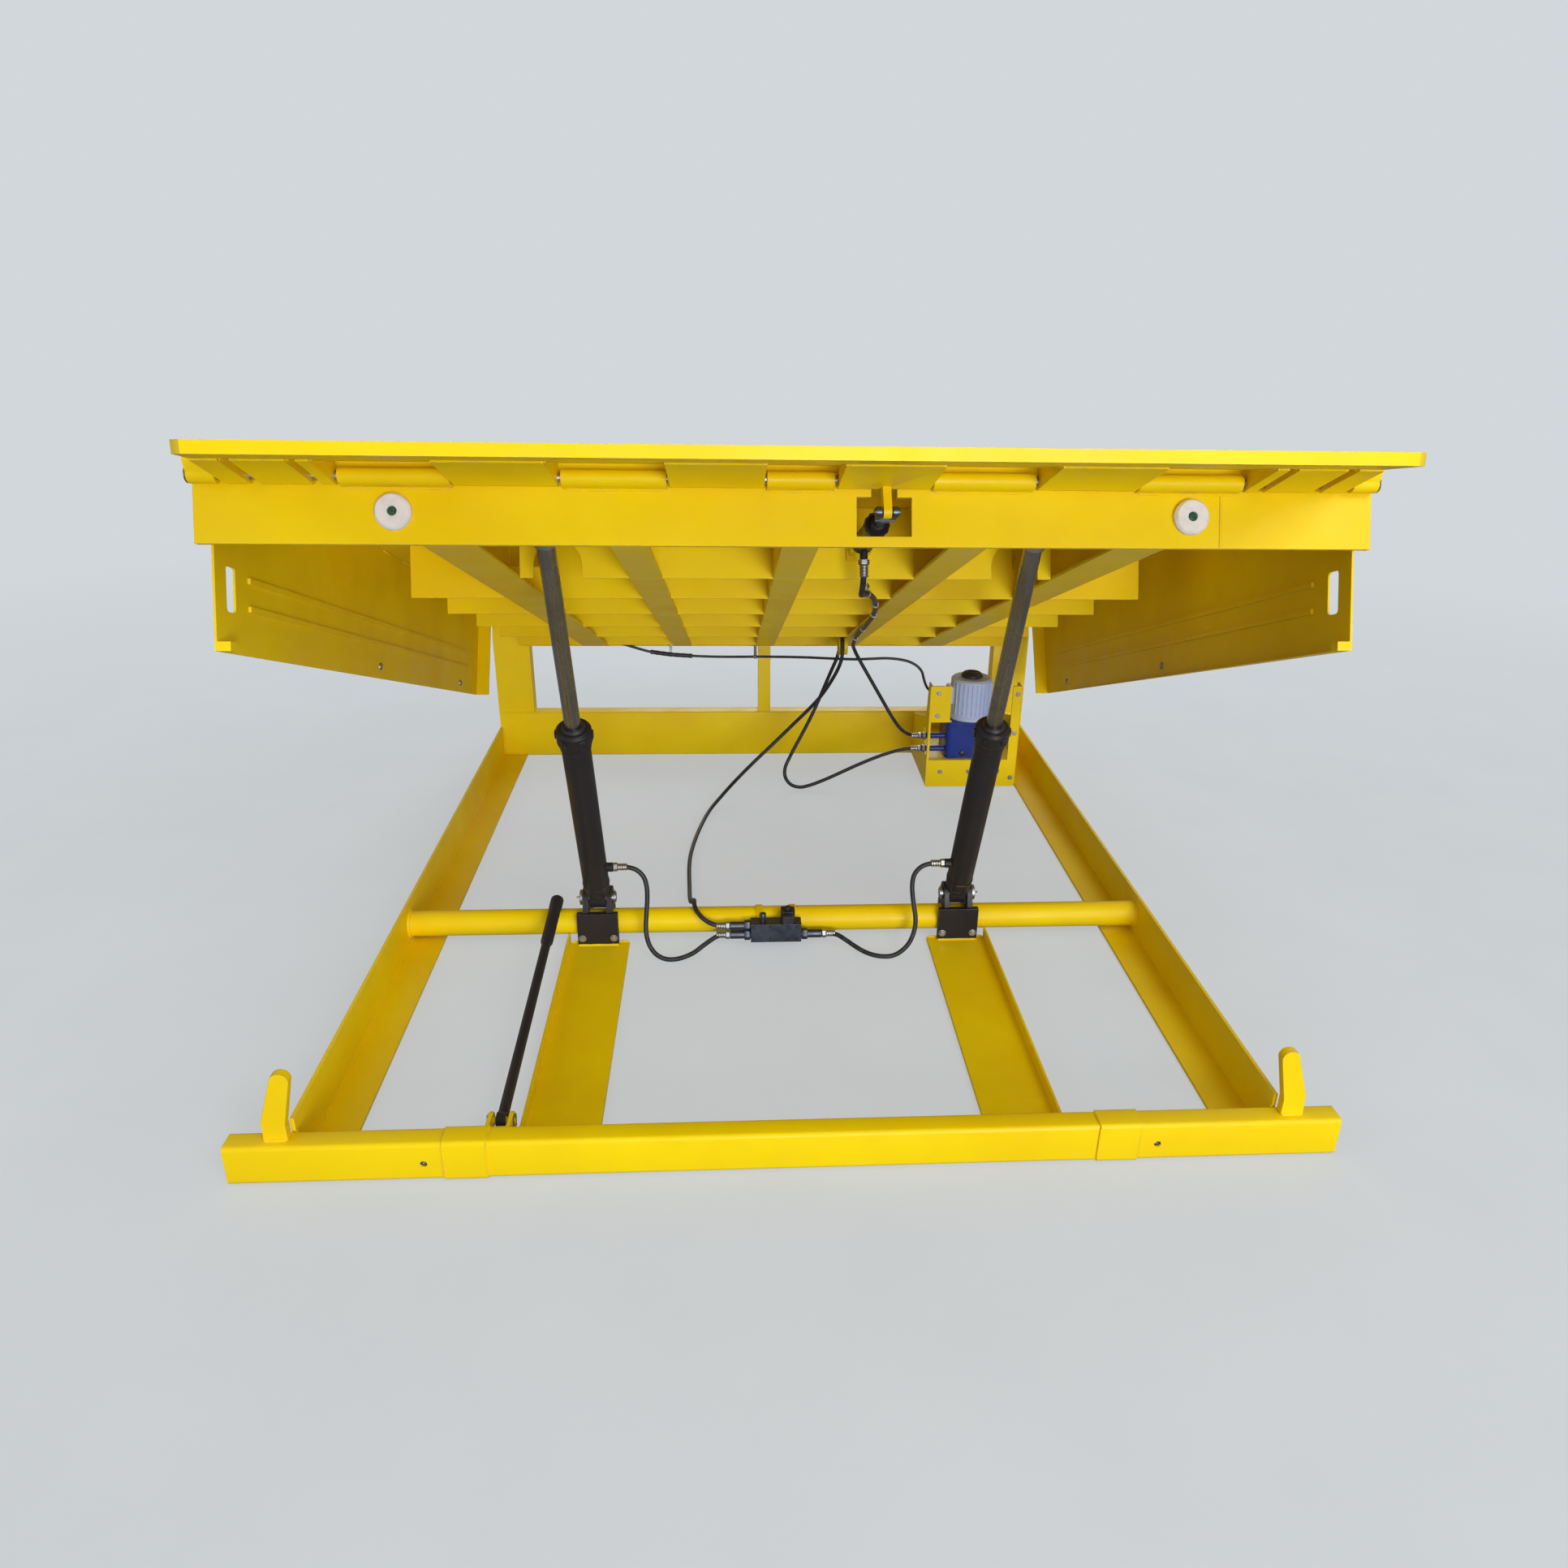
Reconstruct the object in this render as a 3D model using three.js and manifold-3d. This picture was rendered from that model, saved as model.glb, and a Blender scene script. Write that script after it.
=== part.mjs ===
// Hydraulic pit dock leveller, with its deck raised and its lip extended.
// Millimetres, +X to the right seen from the lip end, +Y towards the rear hinge, +Z up.
// While it is built, Y = 0 is the front beam's front face. The last lines centre the model on Y.
import * as THREE from 'three';
import { mergeVertices } from 'three/addons/utils/BufferGeometryUtils.js';
import Module from 'manifold-3d';

const wasm = await Module();
wasm.setup();

// ---- driving dimensions ----
const GAP = 0.3;
const DEG = Math.PI / 180;

// ground frame
const FRAME_LENGTH = 2228;
const FRAME_HALF_WIDTH = 958;
const FRONT_BEAM_HALF = 1070;
const FRONT_BEAM_DEPTH = 50;
const FRONT_BEAM_HEIGHT = 85;
const SIDE_HEIGHT = 112;
const SIDE_FLANGE = 90;
const SIDE_WALL = 8;
const REAR_BEAM_DEPTH = 60;
const REAR_BEAM_HEIGHT = 166;
const POST_WIDTH = 125;
const CENTRE_POST_WIDTH = 44;
const TUBE_Y = 892;
const TUBE_Z = 54;
const TUBE_R = 33;

// deck: s is the distance forward of the rear hinge axis, z is the height above that axis
const LIFT_ANGLE = 20.3 * DEG;
const HINGE_Y = 2265;
const HINGE_Z = 514;
const HINGE_SHAFT_R = 16;
const HINGE_LUG_R = 22;
const DECK_HALF = 1000;
const DECK_FRONT = 2145;
const DECK_TOP = 40;
const DECK_PLATE = 6;
const DECK_BOTTOM = -110;
const HEADER_WALL = 12;
const REAR_WALL_S = 50;
const RIB_WALL = 6;
const GUARD_X = 976;
const GUARD_DROP = 175;

// lip
const LIP_DROOP = 12.3 * DEG;
const LIP_AXIS_S = DECK_FRONT + 18;
const LIP_AXIS_Z = -2;
const LIP_LENGTH = 415;
const LIP_WALL = 18;
const LIP_UNDERSIDE = 23;
const KNUCKLE_R = 14.5;
const LIP_PIN_R = 8;

// lift cylinders
const LIFT_X = 467;
const LOWER_PIN = { y: TUBE_Y, z: 124 };
const UPPER_EYE = { s: 1930, z: -35 };
const BARREL_R = 33;
const BORE_R = 26;
const ROD_R = 18;
const GLAND_TOP = 600;
const LIFT_PIN_R = 14;

// lip cylinder
const LIP_CYL_X = 143;
const LIP_CYL_PIVOT = { s: 1800, z: -48 };
const LEVER_LENGTH = 60;
const LEVER_LEAN = 20 * DEG;
const LIP_PORT = 44;

// ---- materials ----
const paint = (color, roughness = 0.42) =>
  new THREE.MeshStandardMaterial({ color, roughness, metalness: 0.1 });
const metal = (color, roughness = 0.25) =>
  new THREE.MeshStandardMaterial({ color, roughness, metalness: 0.9 });
const yellow = () => paint(0xe0bb12);
const black = () => paint(0x26262a, 0.5);
const bright = () => metal(0xb9bcc2);
const rubber = () => paint(0x1c1d20, 0.7);

// ---- solids ----
function toManifold(geometry) {
  const bare = geometry.clone();
  bare.deleteAttribute('normal');
  bare.deleteAttribute('uv');
  const merged = mergeVertices(bare, 1e-4);
  return new wasm.Manifold(new wasm.Mesh({
    numProp: 3,
    vertProperties: new Float32Array(merged.attributes.position.array),
    triVerts: new Uint32Array(merged.index.array),
  }));
}

function toGeometry(manifold) {
  const mesh = manifold.getMesh();
  const geometry = new THREE.BufferGeometry();
  geometry.setAttribute('position', new THREE.BufferAttribute(new Float32Array(mesh.vertProperties), 3));
  geometry.setIndex(new THREE.BufferAttribute(new Uint32Array(mesh.triVerts), 1));
  geometry.computeVertexNormals();
  return geometry;
}

function join(...geometries) {
  return toGeometry(geometries.map(toManifold).reduce((a, b) => a.add(b)));
}

function cut(geometry, ...tools) {
  return toGeometry(tools.map(toManifold).reduce((a, b) => a.subtract(b), toManifold(geometry)));
}

function box([x0, x1], [y0, y1], [z0, z1]) {
  const geometry = new THREE.BoxGeometry(x1 - x0, y1 - y0, z1 - z0);
  geometry.translate((x0 + x1) / 2, (y0 + y1) / 2, (z0 + z1) / 2);
  return geometry;
}

function outline(points) {
  return new THREE.Shape(points.map(([a, b]) => new THREE.Vector2(a, b)));
}

function extrude(shape, depth, curveSegments = 6) {
  return new THREE.ExtrudeGeometry(shape, { depth, bevelEnabled: false, curveSegments });
}

// a section drawn in (y, z), running along X
function alongX(shape, [x0, x1], curveSegments) {
  const geometry = extrude(shape, x1 - x0, curveSegments);
  const basis = new THREE.Matrix4().makeBasis(
    new THREE.Vector3(0, 1, 0), new THREE.Vector3(0, 0, 1), new THREE.Vector3(1, 0, 0));
  geometry.applyMatrix4(basis);
  geometry.translate(x0, 0, 0);
  return geometry;
}

// a section drawn in (z, x), running along Y
function alongY(shape, [y0, y1], curveSegments) {
  const geometry = extrude(shape, y1 - y0, curveSegments);
  const basis = new THREE.Matrix4().makeBasis(
    new THREE.Vector3(0, 0, 1), new THREE.Vector3(1, 0, 0), new THREE.Vector3(0, 1, 0));
  geometry.applyMatrix4(basis);
  geometry.translate(0, y0, 0);
  return geometry;
}

function rodX([x0, x1], y, z, radius, sides = 16) {
  const geometry = new THREE.CylinderGeometry(radius, radius, x1 - x0, sides);
  geometry.rotateZ(Math.PI / 2);
  geometry.translate((x0 + x1) / 2, y, z);
  return geometry;
}

function rodY([y0, y1], x, z, radius, sides = 16) {
  const geometry = new THREE.CylinderGeometry(radius, radius, y1 - y0, sides);
  geometry.translate(x, (y0 + y1) / 2, z);
  return geometry;
}

// a profile of [radius, height] points, turned about Z
function turned(points, sides = 20) {
  const geometry = new THREE.LatheGeometry(points.map(([r, h]) => new THREE.Vector2(r, h)), sides);
  geometry.rotateX(Math.PI / 2);
  return geometry;
}

function roundedRectangle(width, height, radius) {
  const [a, b, r] = [width / 2, height / 2, radius];
  const shape = new THREE.Shape();
  shape.moveTo(-a + r, -b);
  shape.lineTo(a - r, -b);
  shape.absarc(a - r, -b + r, r, -Math.PI / 2, 0);
  shape.lineTo(a, b - r);
  shape.absarc(a - r, b - r, r, 0, Math.PI / 2);
  shape.lineTo(-a + r, b);
  shape.absarc(-a + r, b - r, r, Math.PI / 2, Math.PI);
  shape.lineTo(-a, -b + r);
  shape.absarc(-a + r, -b + r, r, Math.PI, 1.5 * Math.PI);
  return shape;
}

function boxTubeAlongX(span, [y0, y1], [z0, z1], wall, radius) {
  const shape = roundedRectangle(y1 - y0, z1 - z0, radius);
  shape.holes.push(roundedRectangle(y1 - y0 - 2 * wall, z1 - z0 - 2 * wall, Math.max(radius - wall, 1)));
  const geometry = alongX(shape, span, 2);
  geometry.translate(0, (y0 + y1) / 2, (z0 + z1) / 2);
  return geometry;
}

// the geometry's mirror image in X, with each triangle turned to face out again
function mirrored(geometry) {
  const copy = mergeVertices(geometry);
  copy.scale(-1, 1, 1);
  const index = copy.index.array;
  for (let i = 0; i < index.length; i += 3) {
    [index[i], index[i + 1]] = [index[i + 1], index[i]];
  }
  return copy;
}

// reorders a span so that it runs upwards after a change of side
const onSide = (side, a, b) => (side > 0 ? [a, b] : [-b, -a]);

// ---- the scene graph ----
const model = new THREE.Group();
const base = new THREE.Group();
const deck = new THREE.Group();
deck.position.set(0, HINGE_Y, HINGE_Z);
deck.rotation.x = -LIFT_ANGLE;
const lip = new THREE.Group();
lip.position.set(0, -LIP_AXIS_S, LIP_AXIS_Z);
lip.rotation.x = LIP_DROOP;
deck.add(lip);
model.add(base, deck);

function part(parent, name, geometry, material) {
  const mesh = new THREE.Mesh(geometry, material);
  mesh.name = name;
  parent.add(mesh);
  return mesh;
}

const SIDES = [['left', -1], ['right', 1]];

// ---- ground frame ----
function frontBeam() {
  const depth = [0, FRONT_BEAM_DEPTH];
  const length = [-FRONT_BEAM_HALF + 6, FRONT_BEAM_HALF - 6];
  const tube = boxTubeAlongX(length, depth, [0, FRONT_BEAM_HEIGHT], 5, 9);
  const cap = roundedRectangle(FRONT_BEAM_DEPTH, FRONT_BEAM_HEIGHT, 9);
  const solids = [tube];
  const holes = [];
  for (const [, side] of SIDES) {
    const end = alongX(cap, onSide(side, FRONT_BEAM_HALF - 10, FRONT_BEAM_HALF), 2);
    end.translate(0, FRONT_BEAM_DEPTH / 2, FRONT_BEAM_HEIGHT / 2);
    solids.push(end);
    const sleeve = onSide(side, 588, 668);
    solids.push(boxTubeAlongX(sleeve, [-4, FRONT_BEAM_DEPTH], [0, FRONT_BEAM_HEIGHT + 4], 6, 9));
    holes.push(rodY([-20, 20], side * 706, 38, 7, 12));
  }
  return cut(join(...solids), ...holes);
}

// upright horn beside the parked lip, leaning inwards to a rounded tip
function keeper(side) {
  const shape = new THREE.Shape();
  const foot = FRONT_BEAM_HEIGHT + 4 + GAP;
  shape.moveTo(FRONT_BEAM_HEIGHT + GAP, 954);
  shape.lineTo(foot + 32, 954);
  shape.lineTo(216, 933);
  shape.absarc(216, 951, 18, -Math.PI / 2, Math.PI / 2);
  shape.lineTo(foot + 40, 997);
  shape.lineTo(FRONT_BEAM_HEIGHT + GAP, 999);
  const geometry = alongY(shape, [20, 40], 5);
  return side > 0 ? geometry : mirrored(geometry);
}

function sideMember(side) {
  const inner = FRAME_HALF_WIDTH - SIDE_FLANGE;
  const wall = FRAME_HALF_WIDTH - SIDE_WALL;
  const section = [
    [0, inner], [0, FRAME_HALF_WIDTH], [SIDE_HEIGHT, FRAME_HALF_WIDTH],
    [SIDE_HEIGHT, wall], [SIDE_WALL, wall], [SIDE_WALL, inner],
  ];
  const geometry = alongY(outline(section), [FRONT_BEAM_DEPTH + GAP, FRAME_LENGTH - GAP]);
  return side > 0 ? geometry : mirrored(geometry);
}

// upright whose rounded head carries the rear hinge shaft
function rearPost(span) {
  const front = FRAME_LENGTH;
  const back = FRAME_LENGTH + REAR_BEAM_DEPTH;
  const shape = new THREE.Shape();
  shape.moveTo(front, REAR_BEAM_HEIGHT + GAP);
  shape.lineTo(back, REAR_BEAM_HEIGHT + GAP);
  shape.lineTo(back, HINGE_Z - 70);
  shape.absarc(HINGE_Y, HINGE_Z, HINGE_LUG_R, -0.1, Math.PI);
  shape.lineTo(front + 12, HINGE_Z - 40);
  shape.lineTo(front, HINGE_Z - 70);
  const bore = rodX([span[0] - 5, span[1] + 5], HINGE_Y, HINGE_Z, HINGE_SHAFT_R + 0.5);
  return cut(alongX(shape, span, 5), bore);
}

function groundFrame() {
  part(base, 'front_beam', frontBeam(), yellow());
  const beamSpan = [-FRAME_HALF_WIDTH + 1, FRAME_HALF_WIDTH - 1];
  const beamDepth = [FRAME_LENGTH, FRAME_LENGTH + REAR_BEAM_DEPTH];
  part(base, 'rear_beam', boxTubeAlongX(beamSpan, beamDepth, [0, REAR_BEAM_HEIGHT], 6, 7), yellow());
  for (const [word, side] of SIDES) {
    part(base, `lip_keeper_${word}`, keeper(side), yellow());
    part(base, `side_member_${word}`, sideMember(side), yellow());
    const span = onSide(side, FRAME_HALF_WIDTH - 1 - POST_WIDTH, FRAME_HALF_WIDTH - 1);
    part(base, `rear_post_${word}`, rearPost(span), yellow());
  }
  part(base, 'rear_post_centre', rearPost([-CENTRE_POST_WIDTH / 2, CENTRE_POST_WIDTH / 2]), yellow());
  const shaftHalf = FRAME_HALF_WIDTH + 4;
  part(base, 'rear_hinge_shaft', rodX([-shaftHalf, shaftHalf], HINGE_Y, HINGE_Z, HINGE_SHAFT_R), bright());
  const wallInside = FRAME_HALF_WIDTH - SIDE_WALL - GAP;
  const ring = new THREE.Shape().absarc(0, 0, TUBE_R, 0, 2 * Math.PI);
  ring.holes.push(new THREE.Path().absarc(0, 0, TUBE_R - 5, 0, 2 * Math.PI));
  const tube = alongX(ring, [-wallInside, wallInside], 12);
  tube.translate(0, TUBE_Y, TUBE_Z);
  part(base, 'cross_tube', tube, yellow());
}

// ---- lower cylinder mounts ----
const PLATE_Z = 10;

function innerPlate(side) {
  const half = 78;
  const rows = [FRONT_BEAM_DEPTH + GAP, TUBE_Y - TUBE_R - 1];
  const floor = box([side * LIFT_X - half, side * LIFT_X + half], rows, [0, PLATE_Z]);
  const edge = box(onSide(side, LIFT_X + half - 6, LIFT_X + half), rows, [0, PLATE_Z + 26]);
  return join(floor, edge);
}

// two ears around the cross tube, behind one upright plate
const CLEVIS = { front: 842, thickness: 15, half: 52, top: 100 };

function liftClevis(side) {
  const centre = side * LIFT_X;
  const { front, thickness, half, top } = CLEVIS;
  const ear = new THREE.Shape();
  const foot = PLATE_Z + GAP;
  ear.moveTo(front + 4, foot);
  ear.lineTo(TUBE_Y + 52, foot);
  ear.lineTo(TUBE_Y + 52, TUBE_Z + 24);
  ear.absarc(LOWER_PIN.y, LOWER_PIN.z, 30, 0, Math.PI);
  ear.lineTo(front + 4, top - 8);
  const solids = [box([centre - half, centre + half], [front, front + thickness], [foot, top])];
  for (const x of [centre - 37, centre + 23]) {
    solids.push(alongX(ear, [x, x + 14], 5));
  }
  const reach = [centre - 80, centre + 80];
  const tubeHole = rodX(reach, TUBE_Y, TUBE_Z, TUBE_R + 1, 24);
  const pinHole = rodX(reach, LOWER_PIN.y, LOWER_PIN.z, LIFT_PIN_R + 0.5);
  return cut(join(...solids), tubeHole, pinHole);
}

function liftPin(side) {
  const centre = side * LIFT_X;
  const shank = rodX([centre - 46, centre + 46], LOWER_PIN.y, LOWER_PIN.z, LIFT_PIN_R);
  const head = rodX(onSide(side, LIFT_X + 38, LIFT_X + 46), LOWER_PIN.y, LOWER_PIN.z, 20);
  return join(shank, head);
}

function lowerMounts() {
  for (const [word, side] of SIDES) {
    part(base, `inner_plate_${word}`, innerPlate(side), yellow());
    part(base, `lift_clevis_${word}`, liftClevis(side), black());
    part(base, `lift_pin_${word}`, liftPin(side), bright());
  }
}

// ---- lift cylinders ----
// the deck point (s, z) in the ground frame's (y, z)
function deckPoint({ s, z }) {
  const [c, k] = [Math.cos(LIFT_ANGLE), Math.sin(LIFT_ANGLE)];
  return { y: HINGE_Y - s * c + z * k, z: HINGE_Z + s * k + z * c };
}

// tilt that turns the Z axis towards (dy, dz)
const tiltTowards = (dy, dz) => Math.atan2(-dy, dz);

function liftBarrel(side) {
  const shell = turned([[0, 36], [BARREL_R, 36], [BARREL_R, 560], [BORE_R, 560], [BORE_R, 58], [0, 58]]);
  const eye = rodX([-20, 20], 0, 0, 28);
  const neck = box([-20, 20], [-22, 22], [0, 40]);
  const port = rodX(onSide(-side, BARREL_R - 5, BARREL_R + 14), 0, 120, 12, 12);
  return cut(join(shell, eye, neck, port), rodX([-30, 30], 0, 0, LIFT_PIN_R + 0.5));
}

function liftGland() {
  const bottom = 560 + GAP;
  return turned([
    [ROD_R + 0.4, bottom], [38, bottom], [40, bottom + 3], [40, GLAND_TOP - 6], [34, GLAND_TOP],
    [ROD_R + 0.4, GLAND_TOP], [ROD_R + 0.4, bottom],
  ]);
}

// rod with its piston inside the barrel, and the eye at its top
function liftRod(length) {
  const body = turned([
    [0, 528], [BORE_R - 0.4, 528], [BORE_R - 0.4, 556], [ROD_R, 556], [ROD_R, length - 10], [0, length - 10],
  ]);
  return join(body, rodX([-19, 19], 0, length, 26));
}

function liftCylinders() {
  const top = deckPoint(UPPER_EYE);
  const [dy, dz] = [top.y - LOWER_PIN.y, top.z - LOWER_PIN.z];
  const length = Math.hypot(dy, dz);
  for (const [word, side] of SIDES) {
    const cylinder = new THREE.Group();
    cylinder.position.set(side * LIFT_X, LOWER_PIN.y, LOWER_PIN.z);
    cylinder.rotation.x = tiltTowards(dy, dz);
    base.add(cylinder);
    part(cylinder, `lift_barrel_${word}`, liftBarrel(side), black());
    part(cylinder, `lift_gland_${word}`, liftGland(), black());
    part(cylinder, `lift_rod_${word}`, liftRod(length), bright());
  }
}

// ---- deck ----
const BEAM_PLACES = [[-590, 90], [-290, 66], [0, 64], [290, 66], [590, 90]];
const RIB_PLACES = [
  { s: 96, half: 850 }, { s: 410, half: 850 }, { s: 745, half: 850 },
  { s: 1080, half: 850 }, { s: 1415, half: 850 }, { s: 1750, half: 543 },
];
const RIB_JOINT = (DECK_TOP - DECK_PLATE + DECK_BOTTOM) / 2;
const UNDER_PLATE = DECK_TOP - DECK_PLATE - GAP;

// channel beam, open towards the deck's middle and slotted from below for the cross ribs
function deckBeam([x, width]) {
  const open = x > 0 ? -1 : 1;
  const [wall, half] = [7, width / 2];
  const web = open > 0 ? [x - half, x - half + wall] : [x + half - wall, x + half];
  const rows = [-(DECK_FRONT - HEADER_WALL - GAP), -(REAR_WALL_S + GAP)];
  const solids = [
    box(web, rows, [DECK_BOTTOM, UNDER_PLATE]),
    box([x - half, x + half], rows, [DECK_BOTTOM, DECK_BOTTOM + wall]),
    box([x - half, x + half], rows, [UNDER_PLATE - wall, UNDER_PLATE]),
  ];
  const slots = RIB_PLACES.filter(({ half: reach }) => reach > Math.abs(x)).map(({ s }) => box(
    [x - half - 1, x + half + 1],
    [-(s + RIB_WALL / 2 + GAP), -(s - RIB_WALL / 2 - GAP)],
    [DECK_BOTTOM - 1, RIB_JOINT + GAP]));
  return cut(join(...solids), ...slots);
}

// cross rib, slotted from above for the beams; the front one has arches over the lift cylinders
function crossRib({ s, half }, isFront) {
  const rows = [-(s + RIB_WALL / 2), -(s - RIB_WALL / 2)];
  const plate = box([-half, half], rows, [DECK_BOTTOM, UNDER_PLATE]);
  const tools = BEAM_PLACES.map(([x, width]) => box(
    [x - width / 2 - GAP, x + width / 2 + GAP], [rows[0] - 1, rows[1] + 1], [RIB_JOINT, UNDER_PLATE + 1]));
  if (isFront) {
    for (const [, side] of SIDES) {
      tools.push(rodY([rows[0] - 1, rows[1] + 1], side * LIFT_X, DECK_BOTTOM + 28, 48));
      tools.push(box(
        [side * LIFT_X - 48, side * LIFT_X + 48], [rows[0] - 1, rows[1] + 1],
        [DECK_BOTTOM - 1, DECK_BOTTOM + 28]));
    }
  }
  return cut(plate, ...tools);
}

// knuckles of the lip hinge that stay with the deck
const DECK_KNUCKLES = [[-57, 57], [224, 398], [-398, -224], [578, 758], [-758, -578]];

function header() {
  const rows = [-DECK_FRONT, -(DECK_FRONT - HEADER_WALL)];
  const solids = [box([-DECK_HALF, DECK_HALF], rows, [DECK_BOTTOM, UNDER_PLATE])];
  for (const span of DECK_KNUCKLES) {
    solids.push(rodX(span, -LIP_AXIS_S, LIP_AXIS_Z, KNUCKLE_R, 12));
    solids.push(box(span, [-LIP_AXIS_S, -DECK_FRONT + 2], [LIP_AXIS_Z - KNUCKLE_R, LIP_AXIS_Z + KNUCKLE_R]));
  }
  const hinge = rodX([-DECK_HALF - 5, DECK_HALF + 5], -LIP_AXIS_S, LIP_AXIS_Z, LIP_PIN_R + 0.4, 12);
  const opening = box([LIP_CYL_X - 47, LIP_CYL_X + 47], [rows[0] - 1, rows[1] + 1], [-92, -26]);
  const leverSlot = box([LIP_CYL_X - 22, LIP_CYL_X + 22], [rows[0] - 1, rows[1] + 1], [-30, 16]);
  return cut(join(...solids), hinge, opening, leverSlot);
}

// end plate with four lugs on the rear hinge shaft
function rearEndPlate() {
  const rows = [-REAR_WALL_S, -(REAR_WALL_S - 8)];
  const solids = [box([-850, 850], rows, [DECK_BOTTOM, UNDER_PLATE])];
  const lugSpans = [];
  for (const [, side] of SIDES) {
    lugSpans.push(onSide(side, CENTRE_POST_WIDTH / 2 + 6, CENTRE_POST_WIDTH / 2 + 40));
    lugSpans.push(onSide(side, 790, FRAME_HALF_WIDTH - 1 - POST_WIDTH - 6));
  }
  for (const span of lugSpans) {
    solids.push(rodX(span, 0, 0, HINGE_LUG_R));
    solids.push(box(span, [-REAR_WALL_S + 2, 0], [-HINGE_LUG_R, HINGE_LUG_R]));
  }
  return cut(join(...solids), rodX([-DECK_HALF, DECK_HALF], 0, 0, HINGE_SHAFT_R + 0.5));
}

// side skirt with a raking rear edge, a stiffening flange and pressed beads
function toeGuard(side) {
  const [wall, top, bottom] = [4, UNDER_PLATE, DECK_BOTTOM - GUARD_DROP];
  const front = -(DECK_FRONT - HEADER_WALL - GAP);
  const [rearTop, rearBottom] = [-120, -196];
  const shape = outline([[front, bottom], [rearBottom, bottom], [rearTop, top], [front, top]]);
  const slot = roundedRectangle(36, 78, 8);
  const slotPath = new THREE.Path(slot.getPoints(4).map((p) => new THREE.Vector2(p.x - 2072, p.y - 176)));
  shape.holes.push(slotPath);
  const outside = GUARD_X + wall / 2;
  const inside = GUARD_X - wall / 2;
  const solids = [
    alongX(shape, onSide(side, inside, outside)),
    alongX(outline([
      [rearBottom - 6, bottom], [rearBottom, bottom], [rearTop, top], [rearTop - 6, top],
    ]), onSide(side, inside - 40, inside + 1)),
    box(onSide(side, inside - 22, inside + 1), [front, front + 24], [bottom, bottom + 16]),
  ];
  for (const z of [DECK_BOTTOM - 42, DECK_BOTTOM - 92]) {
    solids.push(box(onSide(side, inside - 5, inside + 1), [front + 130, rearBottom - 130], [z - 5, z + 5]));
  }
  return join(...solids);
}

function liftBracket(side) {
  const ear = new THREE.Shape();
  ear.moveTo(-UPPER_EYE.s + 62, UNDER_PLATE);
  ear.lineTo(-UPPER_EYE.s - 62, UNDER_PLATE);
  ear.lineTo(-UPPER_EYE.s - 34, UPPER_EYE.z);
  ear.absarc(-UPPER_EYE.s, UPPER_EYE.z, 34, Math.PI, 2 * Math.PI);
  const centre = side * LIFT_X;
  const rows = [-UPPER_EYE.s - 62, -UPPER_EYE.s + 62];
  const solids = [box([centre - 40, centre + 40], rows, [UNDER_PLATE - 8, UNDER_PLATE])];
  for (const [x, head] of [[centre - 38, -1], [centre + 24, 1]]) {
    solids.push(alongX(ear, [x, x + 14], 5));
    const face = head > 0 ? x + 14 : x;
    solids.push(rodX(head > 0 ? [face - 2, face + 8] : [face - 8, face + 2], -UPPER_EYE.s, UPPER_EYE.z, 20));
  }
  return join(...solids);
}

function buffer() {
  const front = DECK_FRONT + GAP;
  const disc = turned([[0, 0], [31, 0], [31, 9], [27, 14], [8, 14], [8, 10], [0, 10]]);
  disc.rotateX(Math.PI / 2);
  disc.translate(0, -front, -57);
  return disc;
}

function deckParts() {
  const plate = box([-DECK_HALF, DECK_HALF], [-DECK_FRONT, 18], [DECK_TOP - DECK_PLATE, DECK_TOP]);
  part(deck, 'deck_plate', plate, yellow());
  BEAM_PLACES.forEach((place, i) => part(deck, `deck_beam_${i + 1}`, deckBeam(place), yellow()));
  RIB_PLACES.forEach((place, i) => {
    const isFront = i === RIB_PLACES.length - 1;
    part(deck, `cross_rib_${i + 1}`, crossRib(place, isFront), yellow());
  });
  part(deck, 'header_plate', header(), yellow());
  part(deck, 'rear_end_plate', rearEndPlate(), yellow());
  part(deck, 'lip_hinge_pin',
    rodX([-DECK_HALF + 2, DECK_HALF - 2], -LIP_AXIS_S, LIP_AXIS_Z, LIP_PIN_R, 12), bright());
  for (const [word, side] of SIDES) {
    part(deck, `toe_guard_${word}`, toeGuard(side), yellow());
    part(deck, `lift_bracket_${word}`, liftBracket(side), yellow());
    const disc = buffer();
    disc.translate(side * 676, 0, 0);
    part(deck, `buffer_${word}`, disc, paint(0xe8e6ea, 0.6));
  }
}

// ---- lip ----
const OUTER_LUGS = [[763, 783], [799, 881], [899, 940]];
const END_LUG = [952, 996];
const INNER_LUGS = [[62, 219], [403, 573]];

// plan of the lip plate's right half: [distance from the hinge, half width]
const LIP_PLAN = [[-10, 998], [60, 965], [190, 915], [LIP_LENGTH - 16, 838], [LIP_LENGTH, 820]];

function lipPlate() {
  const right = LIP_PLAN.map(([f, w]) => [w, -f]);
  const left = [...LIP_PLAN].reverse().map(([f, w]) => [-w, -f]);
  const plate = extrude(outline([...right, ...left]), LIP_WALL);
  plate.translate(0, 0, LIP_UNDERSIDE);
  return plate;
}

function lipLug(span, reach) {
  const top = LIP_UNDERSIDE + 6;
  const wedge = alongX(outline([
    [6, 10], [6, top], [-reach, top], [-reach, LIP_UNDERSIDE - 3], [-6, -12.8], [0, -12.8],
  ]), span);
  return join(wedge, rodX(span, 0, 0, KNUCKLE_R, 12));
}

// the lever's pin point below the hinge, in the lip's own frame
function leverEnd() {
  const angle = LEVER_LEAN + LIP_DROOP;
  return { y: -LEVER_LENGTH * Math.sin(angle), z: -LEVER_LENGTH * Math.cos(angle) };
}

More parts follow.
